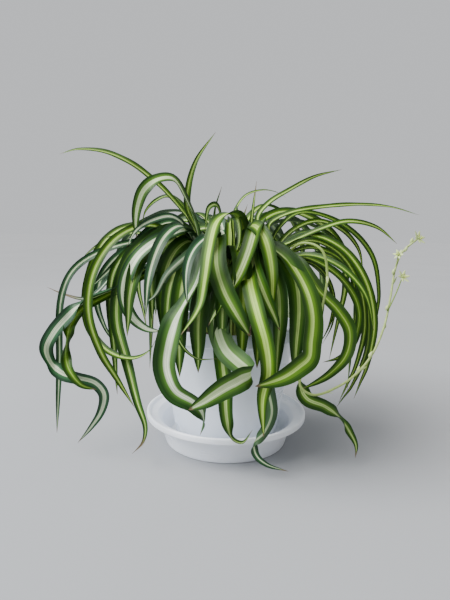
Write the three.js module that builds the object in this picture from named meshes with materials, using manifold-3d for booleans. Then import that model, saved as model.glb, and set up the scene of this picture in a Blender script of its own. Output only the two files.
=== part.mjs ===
// A variegated spider plant in a white plastic pot that stands in a shallow saucer.
// Millimetres, +Z up. The origin is the centre of the saucer's flat base.
import * as THREE from 'three';
import { mergeVertices } from 'three/addons/utils/BufferGeometryUtils.js';
import Module from 'manifold-3d';

const wasm = await Module();
wasm.setup();

// Driving sizes
const GAP = 0.3;
const ROUND_SIDES = 40;

const SAUCER = {
  baseRadius: 60, shoulderRadius: 66.5, shoulderHeight: 21, notch: 3.5,
  lipRadius: 80, lipUnderside: 26, lipWidth: 3, height: 32, wall: 2.2, floor: 3, edge: 1.2,
};
const POT = {
  baseRadius: 50, topRadius: 68, height: 118, wall: 2, floor: 3, edge: 0.8,
  rimHeight: 13, rimProud: 1.6, footHeight: 2, footWidth: 5,
  drainHoles: 5, drainRadius: 4, drainSides: 8, drainCircle: 26,
};
const SOIL = {
  surface: 110, clearance: 3.4, relief: 1.6, rings: 6, sides: 28,
  wavePitch: 0.15, waveShare: 0.65, crumbPitch: 0.5, crumbBend: 0.3,
};
const CORE = {
  bottom: 98, holeFloor: 97, footRadius: 8.5, radius: 10, footTop: 102, waist: 9, waistHeight: 118,
  flare: 15, shoulder: 172, crown: 9, crownHeight: 178, top: 181, sides: 12,
};
const STALK = { radius: 1.1, sides: 5, steps: 40, bottom: 99, sideRadius: 0.8, sideSteps: 4 };
const FLOWER = { petals: 6, heart: 1.5, petalGirth: 0.24, flatness: 0.45, petalStart: 0.2, cup: 0.35 };
const BUD = { girth: 0.26, lean: 0.35 };
const BLADE = {
  keel: 1.5, start: 48, longestStep: 84, mostTurn: 64, leastRings: 4, samples: 14,
  baseWidth: 0.42, fullAt: 0.38, swell: 1.3, leastHalf: 0.6, baseFold: 38, tipFold: 16, foldEnd: 0.45,
};
const ARCH = { riseStep: 30, fallStep: 30, shownBelow: 0.45 };

const COLOURS = {
  saucer: 0xe9ecf2, pot: 0xe6e9f0, soil: 0x3a2a20, leaf: 0x4f7f33, stalk: 0xb9c46a,
};
const ROUGHNESS = { saucer: 0.4, pot: 0.45, soil: 0.95, leaf: 0.5, stalk: 0.6 };

// Directions that a blade's upper side can face at a point of its midrib
const UP = [0, 0, 1];
const FRONT = [0, -1, 0];
const BACK = [0, 1, 0];
const RIGHT = [1, 0, 0];
const LEFT_FRONT = [-0.8, -0.6, 0];
const SLANT = [0, -0.7, 0.7];

// Where each rosette of leaves, and the flower stalk, stands in the soil
const ROOTS = {
  left: [-24, 2, 112],
  front: [2, -24, 112],
  right: [28, 5, 112],
  back: [0, 32, 112],
  stalk: [40, -24, 112],
};

// How full a slender leaf stays towards its tip; broader leaves stay fuller
const SLIM = 2.6;

// A curly leaf: its full width, its fullness and the points of its midrib
function leaf(width, fullness, path) {
  return { width, fullness, path };
}

// An arching leaf rises in a quarter of an ellipse, turns over and down round a second ellipse and then
// hangs straight. Its shape is: heading in degrees from +X, how far out it peaks (lean), height of the
// peak (top), how far out it gets (reach), how far down that is (drop), how many degrees it turns over
// from level (turn), length that hangs straight (hang) and how far its tip swings aside (sweep).
function arch(width, fullness, ...shape) {
  return { width, fullness, shape };
}

const LEFT_LEAVES = [
  leaf(13.5, 5, [[-45, -15, 191], [-75, -28, 176], [-101, -37, 158], [-131, -42, 144, UP],
    [-148, -45, 129, FRONT], [-160, -46, 114, FRONT], [-166, -47, 100], [-161, -50, 88, UP],
    [-149, -54, 80, FRONT], [-135, -54, 76], [-120, -52, 71, FRONT], [-113, -49, 60], [-116, -47, 43],
    [-127, -46, 25], [-139, -45, 10]]),
  arch(7, 6, 197, 50, 199, 135, 52, 88, 132, 0),
  leaf(9, 4, [[-42, 14, 207], [-80, 16, 214], [-106, 14, 211, SLANT], [-123, 8, 199],
    [-133, -2, 177, FRONT], [-139, -9, 145], [-134, -20, 118], [-112, -40, 99], [-85, -60, 97],
    [-68, -72, 107], [-59, -80, 123]]),
  arch(6, SLIM, 176, 65, 206, 128, 44, 60, 10, 0),
  leaf(8, SLIM, [[-42, -4, 204], [-78, -15, 195], [-106, -21, 172, SLANT], [-124, -24, 151],
    [-136, -24, 144, SLANT], [-160, -22, 149], [-173, -20, 154]]),
  arch(8.5, 6, 209, 58, 214, 118, 72, 122, 58, 28),
  leaf(12.5, 3.5, [[-38, -12, 210], [-64, -30, 208], [-88, -38, 189, SLANT], [-100, -40, 158, FRONT],
    [-102, -41, 126], [-91, -51, 92], [-79, -65, 58], [-71, -72, 38], [-73, -74, 25], [-82, -76, 15]]),
  leaf(13, 8, [[-36, -26, 208], [-60, -53, 203], [-78, -61, 189, SLANT], [-89, -63, 168, FRONT],
    [-90, -63, 150, FRONT], [-83, -63, 134], [-71, -64, 125], [-58, -65, 123]]),
  arch(12, 3.5, 243, 45, 214, 99, 74, 92, 0, 0),
  leaf(11, SLIM, [[-25, -22, 192], [-30, -47, 193], [-40, -62, 186], [-53, -67, 173, BACK], [-63, -70, 155],
    [-74, -74, 147]]),
  leaf(8, 5, [[-34, 4, 208], [-50, 7, 232], [-75, 9, 257], [-101, 11, 275], [-124, 13, 284, SLANT],
    [-150, 13, 286], [-168, 12, 281]]),
  leaf(8, SLIM, [[-30, -8, 205], [-41, -12, 232], [-40, -12, 252], [-33, -8, 276, FRONT], [-16, -3, 302]]),
  leaf(13, 6, [[-31, -20, 212], [-42, -32, 240], [-52, -38, 255], [-64, -43, 254, SLANT],
    [-76, -46, 245, FRONT], [-82, -46, 230], [-84, -44, 214], [-84, -40, 203]]),
  arch(8, SLIM, 156, 40, 243, 74, 30, 85, 0, 0),
  arch(9, 4, 200, 55, 196, 92, 45, 94, 96, 0),
  arch(10, SLIM, 190, 55, 194, 104, 52, 122, 28, 0),
  leaf(11, 9, [[-44, -14, 180], [-80, -31, 167], [-114, -38, 148, SLANT], [-136, -40, 135],
    [-144, -44, 122, FRONT], [-146, -49, 108, RIGHT], [-145, -55, 93], [-139, -60, 82, FRONT],
    [-130, -61, 72], [-117, -59, 67]]),
  arch(11, SLIM, 219, 38, 222, 86, 32, 80, 0, 0),
  arch(14, SLIM, 198, 32, 216, 60, 22, 50, 78, 0),
  arch(9, SLIM, 184, 52, 197, 93, 50, 95, 90, 0),
  arch(15, 4, 228, 34, 210, 92, 62, 85, 35, 0),
  arch(12, 4, 214, 22, 204, 58, 40, 92, 40, 0),
  arch(16, 5, 236, 22, 200, 62, 44, 92, 44, 0),
  arch(11, 4, 200, 24, 199, 50, 34, 92, 36, 0),
  leaf(11, 4, [[-23, -22, 200], [-21, -46, 205], [-30, -61, 196, SLANT], [-35, -73, 184],
    [-36, -83, 169, FRONT], [-34, -89, 150]]),
  leaf(20, 6, [[-16, -28, 196], [-16, -46, 203], [-23, -61, 186], [-28, -71, 168],
    [-37, -80, 151, LEFT_FRONT], [-45, -88, 136], [-50, -95, 118, FRONT], [-51, -100, 100],
    [-43, -103, 82, FRONT], [-26, -103, 71, FRONT], [-19, -95, 55, RIGHT], [-22, -89, 39]]),
  leaf(7, SLIM, [[-33, -32, 192], [-42, -58, 173], [-46, -74, 142], [-40, -84, 118], [-26, -88, 106],
    [-9, -89, 106]]),
  arch(17, 5, 257, 30, 186, 80, 50, 94, 48, 0),
  arch(14, SLIM, 249, 34, 187, 80, 46, 94, 48, 0),
  leaf(18, 8, [[-15, -22, 200], [-12, -46, 203], [-11, -72, 182], [-4, -86, 162], [7, -90, 143],
    [18, -87, 125]]),
  leaf(7, SLIM, [[-14, -4, 205], [-15, -6, 228], [-9, -6, 252]]),
  leaf(10, SLIM, [[-12, -16, 205], [-10, -22, 226], [-14, -27, 234], [-20, -31, 231, FRONT],
    [-23, -34, 210]]),
];

const FRONT_LEAVES = [
  leaf(15, 4, [[12, -14, 198], [9, -32, 218], [2, -48, 226], [-11, -66, 219], [-17, -82, 195],
    [-20, -91, 171], [-24, -97, 150], [-38, -100, 128]]),
  leaf(11, SLIM, [[13, -8, 206], [5, -14, 226], [4, -31, 228], [8, -44, 214], [7, -54, 198], [-2, -64, 179]]),
  leaf(16, 5, [[22, -16, 202], [25, -36, 219], [20, -59, 209], [14, -70, 190], [6, -74, 171], [-6, -76, 152],
    [-17, -80, 132]]),
  arch(14, 4, 304, 30, 216, 62, 62, 95, 8, 0),
  leaf(16, 7, [[19, -18, 194], [18, -44, 201], [21, -70, 180], [29, -84, 160], [38, -90, 141],
    [42, -89, 131]]),
  leaf(16, 4.5, [[20, -26, 182], [16, -52, 184], [18, -82, 165], [23, -98, 146], [30, -104, 123],
    [33, -104, 100], [29, -101, 76], [31, -99, 43]]),
  leaf(19, 9, [[32, -20, 194], [43, -43, 195], [56, -64, 179], [65, -80, 160], [68, -90, 143], [66, -99, 124],
    [64, -105, 113], [56, -110, 107, FRONT], [45, -111, 99, FRONT], [33, -109, 93, FRONT], [22, -107, 89]]),
  leaf(14, 6, [[13, -20, 181], [3, -50, 183], [-4, -70, 147], [-6, -80, 116], [-2, -88, 84],
    [0, -90, 56, FRONT], [5, -92, 38, UP], [14, -93, 35], [22, -93, 47]]),
  leaf(20, 9, [[8, -24, 167], [-6, -50, 157], [-10, -72, 134], [-3, -88, 115, BACK], [9, -101, 106, BACK],
    [18, -110, 101, RIGHT], [10, -117, 98, FRONT], [-3, -121, 91, FRONT], [-17, -120, 81, FRONT],
    [-30, -117, 72]]),
  leaf(12, 4, [[23, -28, 181], [30, -54, 165], [33, -78, 120], [34, -86, 84], [38, -89, 60],
    [32, -91, 44, BACK], [24, -90, 33], [26, -90, 23, FRONT], [35, -90, 15], [54, -90, 9]]),
  arch(17, 5, 240, 18, 176, 56, 42, 92, 44, 0),
  arch(17, 5, 297, 26, 196, 53, 45, 92, 56, 0),
  arch(19, 5, 324, 34, 196, 72, 48, 92, 60, 0),
  arch(16, 4, 262, 20, 186, 54, 40, 92, 30, 0),
  arch(17, 4, 281, 20, 198, 53, 50, 92, 52, 0),
  arch(16, 4, 312, 30, 188, 62, 46, 92, 58, 0),
  leaf(7, SLIM, [[18, -4, 205], [13, -2, 222], [16, -2, 236]]),
  leaf(7, SLIM, [[19, -8, 206], [21, -7, 228], [24, -5, 258]]),
  leaf(6, SLIM, [[4, -16, 200], [3, -15, 225], [13, -14, 243], [29, -12, 249], [42, -8, 248], [53, -4, 243]]),
];

const RIGHT_LEAVES = [
  leaf(7, SLIM, [[32, 6, 204], [27, 9, 224], [38, 12, 239], [58, 17, 252, SLANT], [83, 22, 266, FRONT],
    [111, 28, 274]]),
  leaf(7, SLIM, [[39, 6, 205], [39, 5, 218], [57, 3, 229], [92, 7, 236, SLANT], [130, 11, 239, SLANT],
    [160, 12, 237], [187, 12, 230]]),
  arch(6, 4, 10, 42, 230, 131, 78, 92, 55, 0),
  leaf(6.5, 3.5, [[42, -1, 191], [60, -9, 202], [84, -16, 214, SLANT], [110, -18, 222],
    [137, -18, 217, FRONT], [157, -18, 202]]),
  arch(8, 4, 339, 50, 208, 115, 88, 112, 34, 0),
  arch(7, 4, 354, 52, 196, 112, 84, 130, 26, 0),
  arch(7, 3.5, 329, 50, 190, 118, 66, 88, 0, 0),
  arch(7, 3.5, 9, 62, 189, 118, 58, 88, 0, 0),
  leaf(13, 5, [[42, -4, 186], [62, -24, 184], [82, -43, 158, SLANT], [97, -52, 143], [107, -58, 126, FRONT],
    [104, -64, 106], [90, -68, 90, FRONT], [74, -70, 80], [64, -71, 76]]),
  leaf(15, 4, [[46, -6, 178], [58, -25, 164], [64, -42, 122, RIGHT], [64, -53, 82, RIGHT],
    [71, -62, 65, FRONT], [88, -64, 58, FRONT], [102, -63, 47, RIGHT], [112, -63, 33, FRONT],
    [118, -62, 21], [118, -62, 9]]),
  arch(5, SLIM, 8, 45, 182, 82, 50, 135, 0, 0),
  leaf(5, 3.5, [[44, 6, 177], [60, 12, 185], [75, 18, 183, SLANT], [92, 20, 172], [103, 20, 158],
    [108, 18, 137, FRONT], [104, 14, 116], [95, 10, 98]]),
  arch(7, SLIM, 44, 26, 209, 54, 20, 75, 0, 0),
  arch(7, 3.5, 355, 48, 211, 98, 74, 92, 30, 0),
  arch(7, 3.5, 15, 60, 222, 118, 55, 88, 0, 0),
  arch(9, SLIM, 352, 30, 177, 63, 45, 95, 35, 0),
  arch(7, 4, 346, 50, 203, 106, 82, 118, 40, 0),
  leaf(9, 5, [[42, -2, 180], [67, -14, 188], [95, -20, 177, SLANT], [115, -22, 158], [124, -22, 139, FRONT],
    [124, -22, 120], [118, -22, 102], [107, -22, 92], [92, -22, 87]]),
];

const BACK_LEAVES = [
  arch(11, SLIM, 20, 62, 232, 150, 75, 96, 92, 18),
  arch(13, SLIM, 27, 68, 222, 164, 80, 95, 112, -20),
  arch(11, SLIM, 33, 46, 238, 112, 70, 100, 50, 24),
  arch(14, SLIM, 44, 66, 230, 158, 80, 96, 92, -14),
  arch(12, SLIM, 54, 56, 216, 134, 66, 98, 66, 26),
  arch(15, SLIM, 64, 70, 226, 166, 85, 95, 110, -18),
  arch(12, SLIM, 74, 44, 220, 104, 64, 102, 46, 16),
  arch(14, SLIM, 84, 68, 224, 160, 80, 95, 114, 24),
  arch(13, SLIM, 94, 58, 222, 140, 80, 97, 80, -24),
  arch(12, SLIM, 104, 68, 220, 164, 75, 96, 104, 16),
  arch(13, SLIM, 114, 46, 226, 108, 66, 100, 52, -20),
  arch(14, SLIM, 124, 66, 228, 160, 85, 95, 108, 20),
  arch(11, SLIM, 135, 58, 222, 138, 70, 97, 72, -24),
  arch(13, SLIM, 146, 66, 230, 160, 80, 96, 98, 20),
  arch(10, SLIM, 157, 50, 220, 118, 66, 98, 56, -16),
  arch(12, SLIM, 170, 24, 212, 60, 44, 95, 40, 0),
  arch(13, SLIM, 12, 24, 208, 58, 44, 95, 36, 0),
  arch(13, SLIM, 119, 20, 210, 54, 46, 95, 40, 0),
  arch(12, SLIM, 88, 15, 218, 44, 40, 100, 36, 0),
];

const STALK_PATH = [
  [47, -33, 180], [62, -48, 201], [78, -60, 197], [84, -62, 176], [80, -66, 146], [70, -78, 110],
  [61, -86, 84], [72, -89, 77], [92, -88, 84], [108, -87, 96], [121, -83, 112], [131, -77, 134],
  [137, -70, 159], [141, -65, 182], [147, -62, 196], [160, -60, 208],
];
const SIDE_SHOOT = [[134, -74, 147], [140, -74, 162], [144, -75, 176]];
const STAR_FLOWERS = [
  { at: [160, -60, 208], facing: [0.5, -0.7, 0.5], petal: 7.5 },
  { at: [144, -75, 176], facing: [0.3, -0.8, 0.5], petal: 6.5 },
  { at: [143, -65, 194], facing: [-0.6, -0.7, 0.4], petal: 5 },
];
const BUDS = [
  { at: [133, -75, 150], length: 6 }, { at: [139, -67, 180], length: 6 }, { at: [150, -62, 199], length: 6 },
  { at: [155, -60, 206], length: 6 }, { at: [119, -84, 111], length: 7 }, { at: [109, -86, 99], length: 6 },
];

function vector(point) {
  return new THREE.Vector3(point[0], point[1], point[2]);
}

// Turns a closed geometry into a solid: shared corners merged, empty triangles left out
function solid(geometry) {
  const bare = geometry.clone();
  bare.deleteAttribute('normal');
  bare.deleteAttribute('uv');
  const merged = mergeVertices(bare, 1e-4);
  const corners = merged.index.array;
  const kept = [];
  for (let i = 0; i < corners.length; i += 3) {
    const [a, b, c] = [corners[i], corners[i + 1], corners[i + 2]];
    if (a !== b && b !== c && c !== a) kept.push(a, b, c);
  }
  return new wasm.Manifold(new wasm.Mesh({
    numProp: 3,
    vertProperties: new Float32Array(merged.attributes.position.array),
    triVerts: new Uint32Array(kept),
  }));
}

function geometryOf(manifold) {
  const mesh = manifold.getMesh();
  const geometry = new THREE.BufferGeometry();
  geometry.setAttribute('position', new THREE.BufferAttribute(new Float32Array(mesh.vertProperties), 3));
  geometry.setIndex(new THREE.BufferAttribute(new Uint32Array(mesh.triVerts), 1));
  return geometry;
}

// Turns a profile of [radius, height] points round the Z axis
function turned(profile, sides) {
  const points = profile.map(([radius, height]) => new THREE.Vector2(radius, height));
  return new THREE.LatheGeometry(points, sides).rotateX(Math.PI / 2);
}

function upright(radius, bottom, top, x, y, sides) {
  const length = top - bottom;
  const geometry = new THREE.CylinderGeometry(radius, radius, length, sides);
  return geometry.rotateX(Math.PI / 2).translate(x, y, bottom + length / 2);
}

function saucerGeometry() {
  const s = SAUCER;
  const e = s.edge;
  const lipInside = s.lipRadius - s.lipWidth;
  const profile = [
    [0, 0], [s.baseRadius, 0], [s.baseRadius + e, e], [s.shoulderRadius, s.shoulderHeight],
    [s.shoulderRadius + s.notch, s.lipUnderside - e], [s.lipRadius - e, s.lipUnderside],
    [s.lipRadius, s.lipUnderside + e], [s.lipRadius, s.height - e], [s.lipRadius - e, s.height],
    [lipInside + e / 2, s.height], [lipInside, s.height - e],
    [lipInside - e, s.lipUnderside + s.wall + e], [s.shoulderRadius + s.wall, s.lipUnderside + e],
    [s.shoulderRadius - s.wall, s.shoulderHeight + e], [s.baseRadius - e / 2, s.floor + e],
    [s.baseRadius - 2 * e, s.floor], [0, s.floor],
  ];
  return turned(profile, ROUND_SIDES);
}

const POT_BASE = SAUCER.floor + GAP;
const POT_TOP = POT_BASE + POT.height;

function potRadius(z) {
  return POT.baseRadius + (POT.topRadius - POT.baseRadius) * (z - POT_BASE) / POT.height;
}

function potSolid() {
  const rimFoot = POT_TOP - POT.rimHeight;
  const underFloor = POT_BASE + POT.footHeight;
  const insideFloor = underFloor + POT.floor;
  const rimRadius = POT.topRadius + POT.rimProud;
  const insideTop = POT.topRadius - POT.wall;
  const footInside = POT.baseRadius - POT.footWidth;
  const e = POT.edge;
  const profile = [
    [0, underFloor], [footInside, underFloor], [footInside + e, POT_BASE], [POT.baseRadius - e, POT_BASE],
    [POT.baseRadius, POT_BASE + e], [potRadius(rimFoot), rimFoot], [rimRadius - e, rimFoot + e],
    [rimRadius, rimFoot + 2 * e], [rimRadius, POT_TOP - e], [rimRadius - e, POT_TOP],
    [insideTop + e, POT_TOP], [insideTop, POT_TOP - e], [potRadius(insideFloor) - POT.wall, insideFloor],
    [0, insideFloor],
  ];
  let pot = solid(turned(profile, ROUND_SIDES));
  for (let hole = 0; hole < POT.drainHoles; hole += 1) {
    const angle = 2 * Math.PI * hole / POT.drainHoles;
    const x = POT.drainCircle * Math.cos(angle);
    const y = POT.drainCircle * Math.sin(angle);
    pot = pot.subtract(solid(upright(POT.drainRadius, POT_BASE, insideFloor + 1, x, y, POT.drainSides)));
  }
  return pot;
}

// Low waves and crumbs in the soil's surface
function soilRelief(x, y) {
  const waves = Math.sin(SOIL.wavePitch * x) * Math.cos(SOIL.wavePitch * y);
  const bend = Math.sin(SOIL.crumbBend * y);
  const crumbs = Math.sin(SOIL.crumbPitch * x + bend) * Math.cos(SOIL.crumbPitch * y);
  return SOIL.relief * (SOIL.waveShare * waves + (1 - SOIL.waveShare) * crumbs);
}

function soilSolid() {
  const bottom = POT_BASE + POT.footHeight + POT.floor + GAP;
  const topRadius = potRadius(SOIL.surface) - POT.wall - 2 * GAP;
  const profile = [[0, bottom], [potRadius(bottom) - POT.wall - 3 * GAP, bottom], [topRadius, SOIL.surface]];
  for (let ring = SOIL.rings - 1; ring >= 0; ring -= 1) {
    profile.push([(topRadius - SOIL.clearance) * ring / (SOIL.rings - 1), SOIL.surface + 1]);
  }
  const geometry = turned(profile, SOIL.sides);
  const places = geometry.attributes.position;
  for (let i = 0; i < places.count; i += 1) {
    if (places.getZ(i) > SOIL.surface) {
      places.setZ(i, SOIL.surface + SOIL.relief + soilRelief(places.getX(i), places.getY(i)));
    }
  }
  let soil = solid(geometry);
  for (const name of ['left', 'front', 'right', 'back']) {
    const [x, y] = ROOTS[name];
    soil = soil.subtract(solid(upright(CORE.radius + GAP, CORE.holeFloor, POT_TOP, x, y, CORE.sides)));
  }
  const [x, y] = ROOTS.stalk;
  const stalkHole = upright(STALK.radius + 2 * GAP, STALK.bottom - GAP, POT_TOP, x, y, STALK.sides + 2);
  return soil.subtract(solid(stalkHole));
}

// The midrib of an arching leaf, in the upright plane of its heading and then swung aside
function archPath(root, [heading, lean, top, reach, drop, turn, hang, sweep]) {
  const radians = THREE.MathUtils.degToRad;
  const profile = [];
  for (let rise = ARCH.riseStep; rise <= 90; rise += ARCH.riseStep) {
    profile.push([lean * (1 - Math.cos(radians(rise))), root[2] + (top - root[2]) * Math.sin(radians(rise))]);
  }
  const peak = profile.length - 1;
  const falls = Math.max(1, Math.round(turn / ARCH.fallStep));
  for (let fall = 1; fall <= falls; fall += 1) {
    const angle = radians(turn) * fall / falls;
    profile.push([lean + (reach - lean) * Math.sin(angle), top - drop * (1 - Math.cos(angle))]);
  }
  if (hang > 0) {
    const [out, height] = profile[profile.length - 1];
    const end = radians(turn);
    const along = new THREE.Vector2((reach - lean) * Math.cos(end), -drop * Math.sin(end));
    along.normalize().multiplyScalar(hang);
    profile.push([out + along.x / 2, height + along.y / 2], [out + along.x, height + along.y]);
  }
  const [ahead, aside] = [Math.cos(radians(heading)), Math.sin(radians(heading))];
  const path = profile.map(([out, height], i) => {
    const swing = sweep * ((i + 1) / profile.length) ** 2;
    return [root[0] + ahead * out - aside * swing, root[1] + aside * out + ahead * swing, height];
  });
  if (aside < ARCH.shownBelow) {
    path[peak].push(SLANT);
    path[Math.min(peak + 2, path.length - 1)].push(FRONT);
  }
  return path;
}

// Samples a midrib, with the blade's normal carried along it and turned to the stated facings
function midrib(path) {
  const points = path.map(vector);
  const curve = new THREE.CatmullRomCurve3(points);
  const last = (points.length - 1) * BLADE.samples;
  const places = [];
  for (let i = 0; i <= last; i += 1) places.push(curve.getPoint(i / last));
  const tangents = places.map((place, i) => {
    const ahead = places[Math.min(i + 1, last)];
    const behind = places[Math.max(i - 1, 0)];
    return ahead.clone().sub(behind).normalize();
  });
  const lengths = [0];
  for (let i = 1; i <= last; i += 1) lengths.push(lengths[i - 1] + places[i].distanceTo(places[i - 1]));

  const outward = points.reduce((sum, point) => sum.add(point), new THREE.Vector3());
  outward.divideScalar(points.length).sub(points[0]).setZ(0).normalize();
  const normals = [new THREE.Vector3(0, 0, 1).sub(outward)];
  normals[0].addScaledVector(tangents[0], -normals[0].dot(tangents[0])).normalize();
  for (let i = 1; i <= last; i += 1) {
    const normal = normals[i - 1].clone();
    normals.push(normal.addScaledVector(tangents[i], -normal.dot(tangents[i])).normalize());
  }

  const turns = [[0, 0]];
  path.forEach((point, k) => {
    if (!point[3]) return;
    const i = k * BLADE.samples;
    const wanted = vector(point[3]);
    wanted.addScaledVector(tangents[i], -wanted.dot(tangents[i]));
    const side = tangents[i].clone().cross(normals[i]);
    const before = turns[turns.length - 1][1];
    let angle = Math.atan2(wanted.dot(side), wanted.dot(normals[i]));
    angle -= 2 * Math.PI * Math.round((angle - before) / (2 * Math.PI));
    turns.push([lengths[i], angle]);
  });
  const turnedNormals = normals.map((normal, i) => {
    const angle = eased(turns, lengths[i]);
    const side = tangents[i].clone().cross(normal);
    return normal.clone().multiplyScalar(Math.cos(angle)).addScaledVector(side, Math.sin(angle));
  });
  return { places, tangents, normals: turnedNormals, lengths };
}

function eased(stops, at) {
  for (let k = 1; k < stops.length; k += 1) {
    if (at < stops[k][0]) {
      const t = (at - stops[k - 1][0]) / (stops[k][0] - stops[k - 1][0]);
      return stops[k - 1][1] + (stops[k][1] - stops[k - 1][1]) * t * t * (3 - 2 * t);
    }
  }
  return stops[stops.length - 1][1];
}

function halfWidth(t, width, fullness) {
  if (t < BLADE.fullAt) {
    const swell = Math.sin(t / BLADE.fullAt * Math.PI / 2) ** BLADE.swell;
    return 0.5 * width * (BLADE.baseWidth + (1 - BLADE.baseWidth) * swell);
  }
  const left = (1 - t) / (1 - BLADE.fullAt);
  return 0.5 * width * (1 - (1 - left) ** fullness);
}

function foldAngle(t) {
  const open = Math.min(t / BLADE.foldEnd, 1);
  return THREE.MathUtils.degToRad(BLADE.baseFold * (1 - open) + BLADE.tipFold);
}

// Where the rings of a blade go: closer together where it bends or twists
function ringStops(rib) {
  const spent = [0];
  for (let i = 1; i < rib.places.length; i += 1) {
    const bend = rib.tangents[i].angleTo(rib.tangents[i - 1]) + rib.normals[i].angleTo(rib.normals[i - 1]);
    const step = rib.lengths[i] - rib.lengths[i - 1];
    const share = step / BLADE.longestStep + THREE.MathUtils.radToDeg(bend) / 2 / BLADE.mostTurn;
    spent.push(spent[i - 1] + (rib.lengths[i] < BLADE.start ? 0 : share));
  }
  const rings = Math.max(BLADE.leastRings, Math.ceil(spent[spent.length - 1]));
  const stops = [rib.lengths.findIndex((value) => value >= BLADE.start)];
  for (let ring = 1; ring < rings; ring += 1) {
    const wanted = spent[spent.length - 1] * ring / rings;
    stops.push(spent.findIndex((value) => value >= wanted));
  }
  stops.push(spent.length - 1);
  return [...new Set(stops)];
}

// A blade is a folded strip with a keel under its midrib: two edges, a valley and a keel to a ring,
// its faces split alike above and below
function bladeGeometry({ width, fullness, path }) {
  const rib = midrib(path);
  const whole = rib.lengths[rib.lengths.length - 1];
  const stops = ringStops(rib);
  const corners = [];
  for (const i of stops) {
    const t = rib.lengths[i] / whole;
    const half = Math.max(halfWidth(t, width, fullness), BLADE.leastHalf);
    const fold = foldAngle(t);
    const side = rib.tangents[i].clone().cross(rib.normals[i]).normalize();
    const out = half * Math.cos(fold);
    const lift = half * Math.sin(fold);
    const section = [[-out, lift], [0, 0], [out, lift], [0, -BLADE.keel / Math.cos(fold)]];
    for (const [across, along] of section) {
      const corner = rib.places[i].clone().addScaledVector(side, across);
      corner.addScaledVector(rib.normals[i], along);
      corners.push(corner.x, corner.y, corner.z);
    }
  }
  const faces = [];
  const alternate = [false, true, false, true];
  for (let ring = 0; ring + 1 < stops.length; ring += 1) {
    for (let j = 0; j < 4; j += 1) {
      const a = ring * 4 + j;
      const b = ring * 4 + (j + 1) % 4;
      const c = b + 4;
      const d = a + 4;
      if (alternate[j]) faces.push(a, d, b, b, d, c);
      else faces.push(a, d, c, a, c, b);
    }
  }
  const end = (stops.length - 1) * 4;
  faces.push(0, 1, 3, 1, 2, 3);
  faces.push(end, end + 3, end + 1, end + 1, end + 3, end + 2);
  const geometry = new THREE.BufferGeometry();
  geometry.setAttribute('position', new THREE.BufferAttribute(new Float32Array(corners), 3));
  geometry.setIndex(faces);
  return geometry;
}

function facingOut(geometry) {
  const places = geometry.attributes.position;
  const corners = geometry.index.array;
  const [a, b, c] = [new THREE.Vector3(), new THREE.Vector3(), new THREE.Vector3()];
  let volume = 0;
  for (let i = 0; i < corners.length; i += 3) {
    a.fromBufferAttribute(places, corners[i]);
    b.fromBufferAttribute(places, corners[i + 1]);
    c.fromBufferAttribute(places, corners[i + 2]);
    volume += a.dot(b.cross(c));
  }
  if (volume < 0) {
    for (let i = 0; i < corners.length; i += 3) {
      [corners[i + 1], corners[i + 2]] = [corners[i + 2], corners[i + 1]];
    }
  }
  return geometry;
}

// The one outer skin of a fused solid, so that what crossing blades enclose is filled
function outerShell(manifold) {
  return manifold.decompose().reduce((best, shell) => (shell.volume() > best.volume() ? shell : best));
}

// The short clump of leaf bases that stands in the soil
function coreSolid(name) {
  const [x, y] = ROOTS[name];
  const profile = [
    [0, CORE.bottom], [CORE.footRadius, CORE.bottom], [CORE.radius, CORE.footTop],
    [CORE.waist, CORE.waistHeight], [CORE.flare, CORE.shoulder], [CORE.crown, CORE.crownHeight],
    [0, CORE.top],
  ];
  return solid(turned(profile, CORE.sides).translate(x, y, 0));
}

function rosetteSolid(name, leaves) {
  let rosette = coreSolid(name);
  for (const row of leaves) {
    const path = row.path ?? archPath(ROOTS[name], row.shape);
    const blade = bladeGeometry({ ...row, path: [ROOTS[name], ...path] });
    rosette = rosette.add(solid(facingOut(blade)));
  }
  return outerShell(rosette);
}

function tubeSolid(path, radius, sides, steps) {
  const outline = new THREE.Shape();
  for (let side = 0; side < sides; side += 1) {
    const angle = 2 * Math.PI * side / sides;
    const corner = [radius * Math.cos(angle), radius * Math.sin(angle)];
    if (side === 0) outline.moveTo(...corner);
    else outline.lineTo(...corner);
  }
  outline.closePath();
  const curve = new THREE.CatmullRomCurve3(path.map(vector));
  return solid(new THREE.ExtrudeGeometry(outline, { steps, extrudePath: curve }));
}

// A star of narrow petals round a small heart
function starSolid({ at, facing, petal }) {
  let star = solid(new THREE.OctahedronGeometry(FLOWER.heart));
  for (let i = 0; i < FLOWER.petals; i += 1) {
    const blade = new THREE.ConeGeometry(FLOWER.petalGirth * petal, petal, 3);
    blade.scale(1, 1, FLOWER.flatness).translate(0, petal / 2 + FLOWER.petalStart, 0);
    blade.rotateX(-FLOWER.cup).rotateZ(2 * Math.PI * i / FLOWER.petals);
    star = star.add(solid(blade));
  }
  const turn = new THREE.Quaternion();
  turn.setFromUnitVectors(new THREE.Vector3(0, 0, 1), vector(facing).normalize());
  return solid(geometryOf(star).applyQuaternion(turn).translate(...at));
}

function budSolid({ at, length }) {
  const girth = BUD.girth * length;
  const bud = new THREE.OctahedronGeometry(1).scale(girth, girth, length / 2);
  return solid(bud.rotateY(BUD.lean).translate(...at));
}

function stalkSolid() {
  const foot = [ROOTS.stalk[0], ROOTS.stalk[1], STALK.bottom];
  let stalk = tubeSolid([foot, ROOTS.stalk, ...STALK_PATH], STALK.radius, STALK.sides, STALK.steps);
  stalk = stalk.add(tubeSolid(SIDE_SHOOT, STALK.sideRadius, STALK.sides, STALK.sideSteps));
  for (const flower of STAR_FLOWERS) stalk = stalk.add(starSolid(flower));
  for (const bud of BUDS) stalk = stalk.add(budSolid(bud));
  return outerShell(stalk);
}

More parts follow.
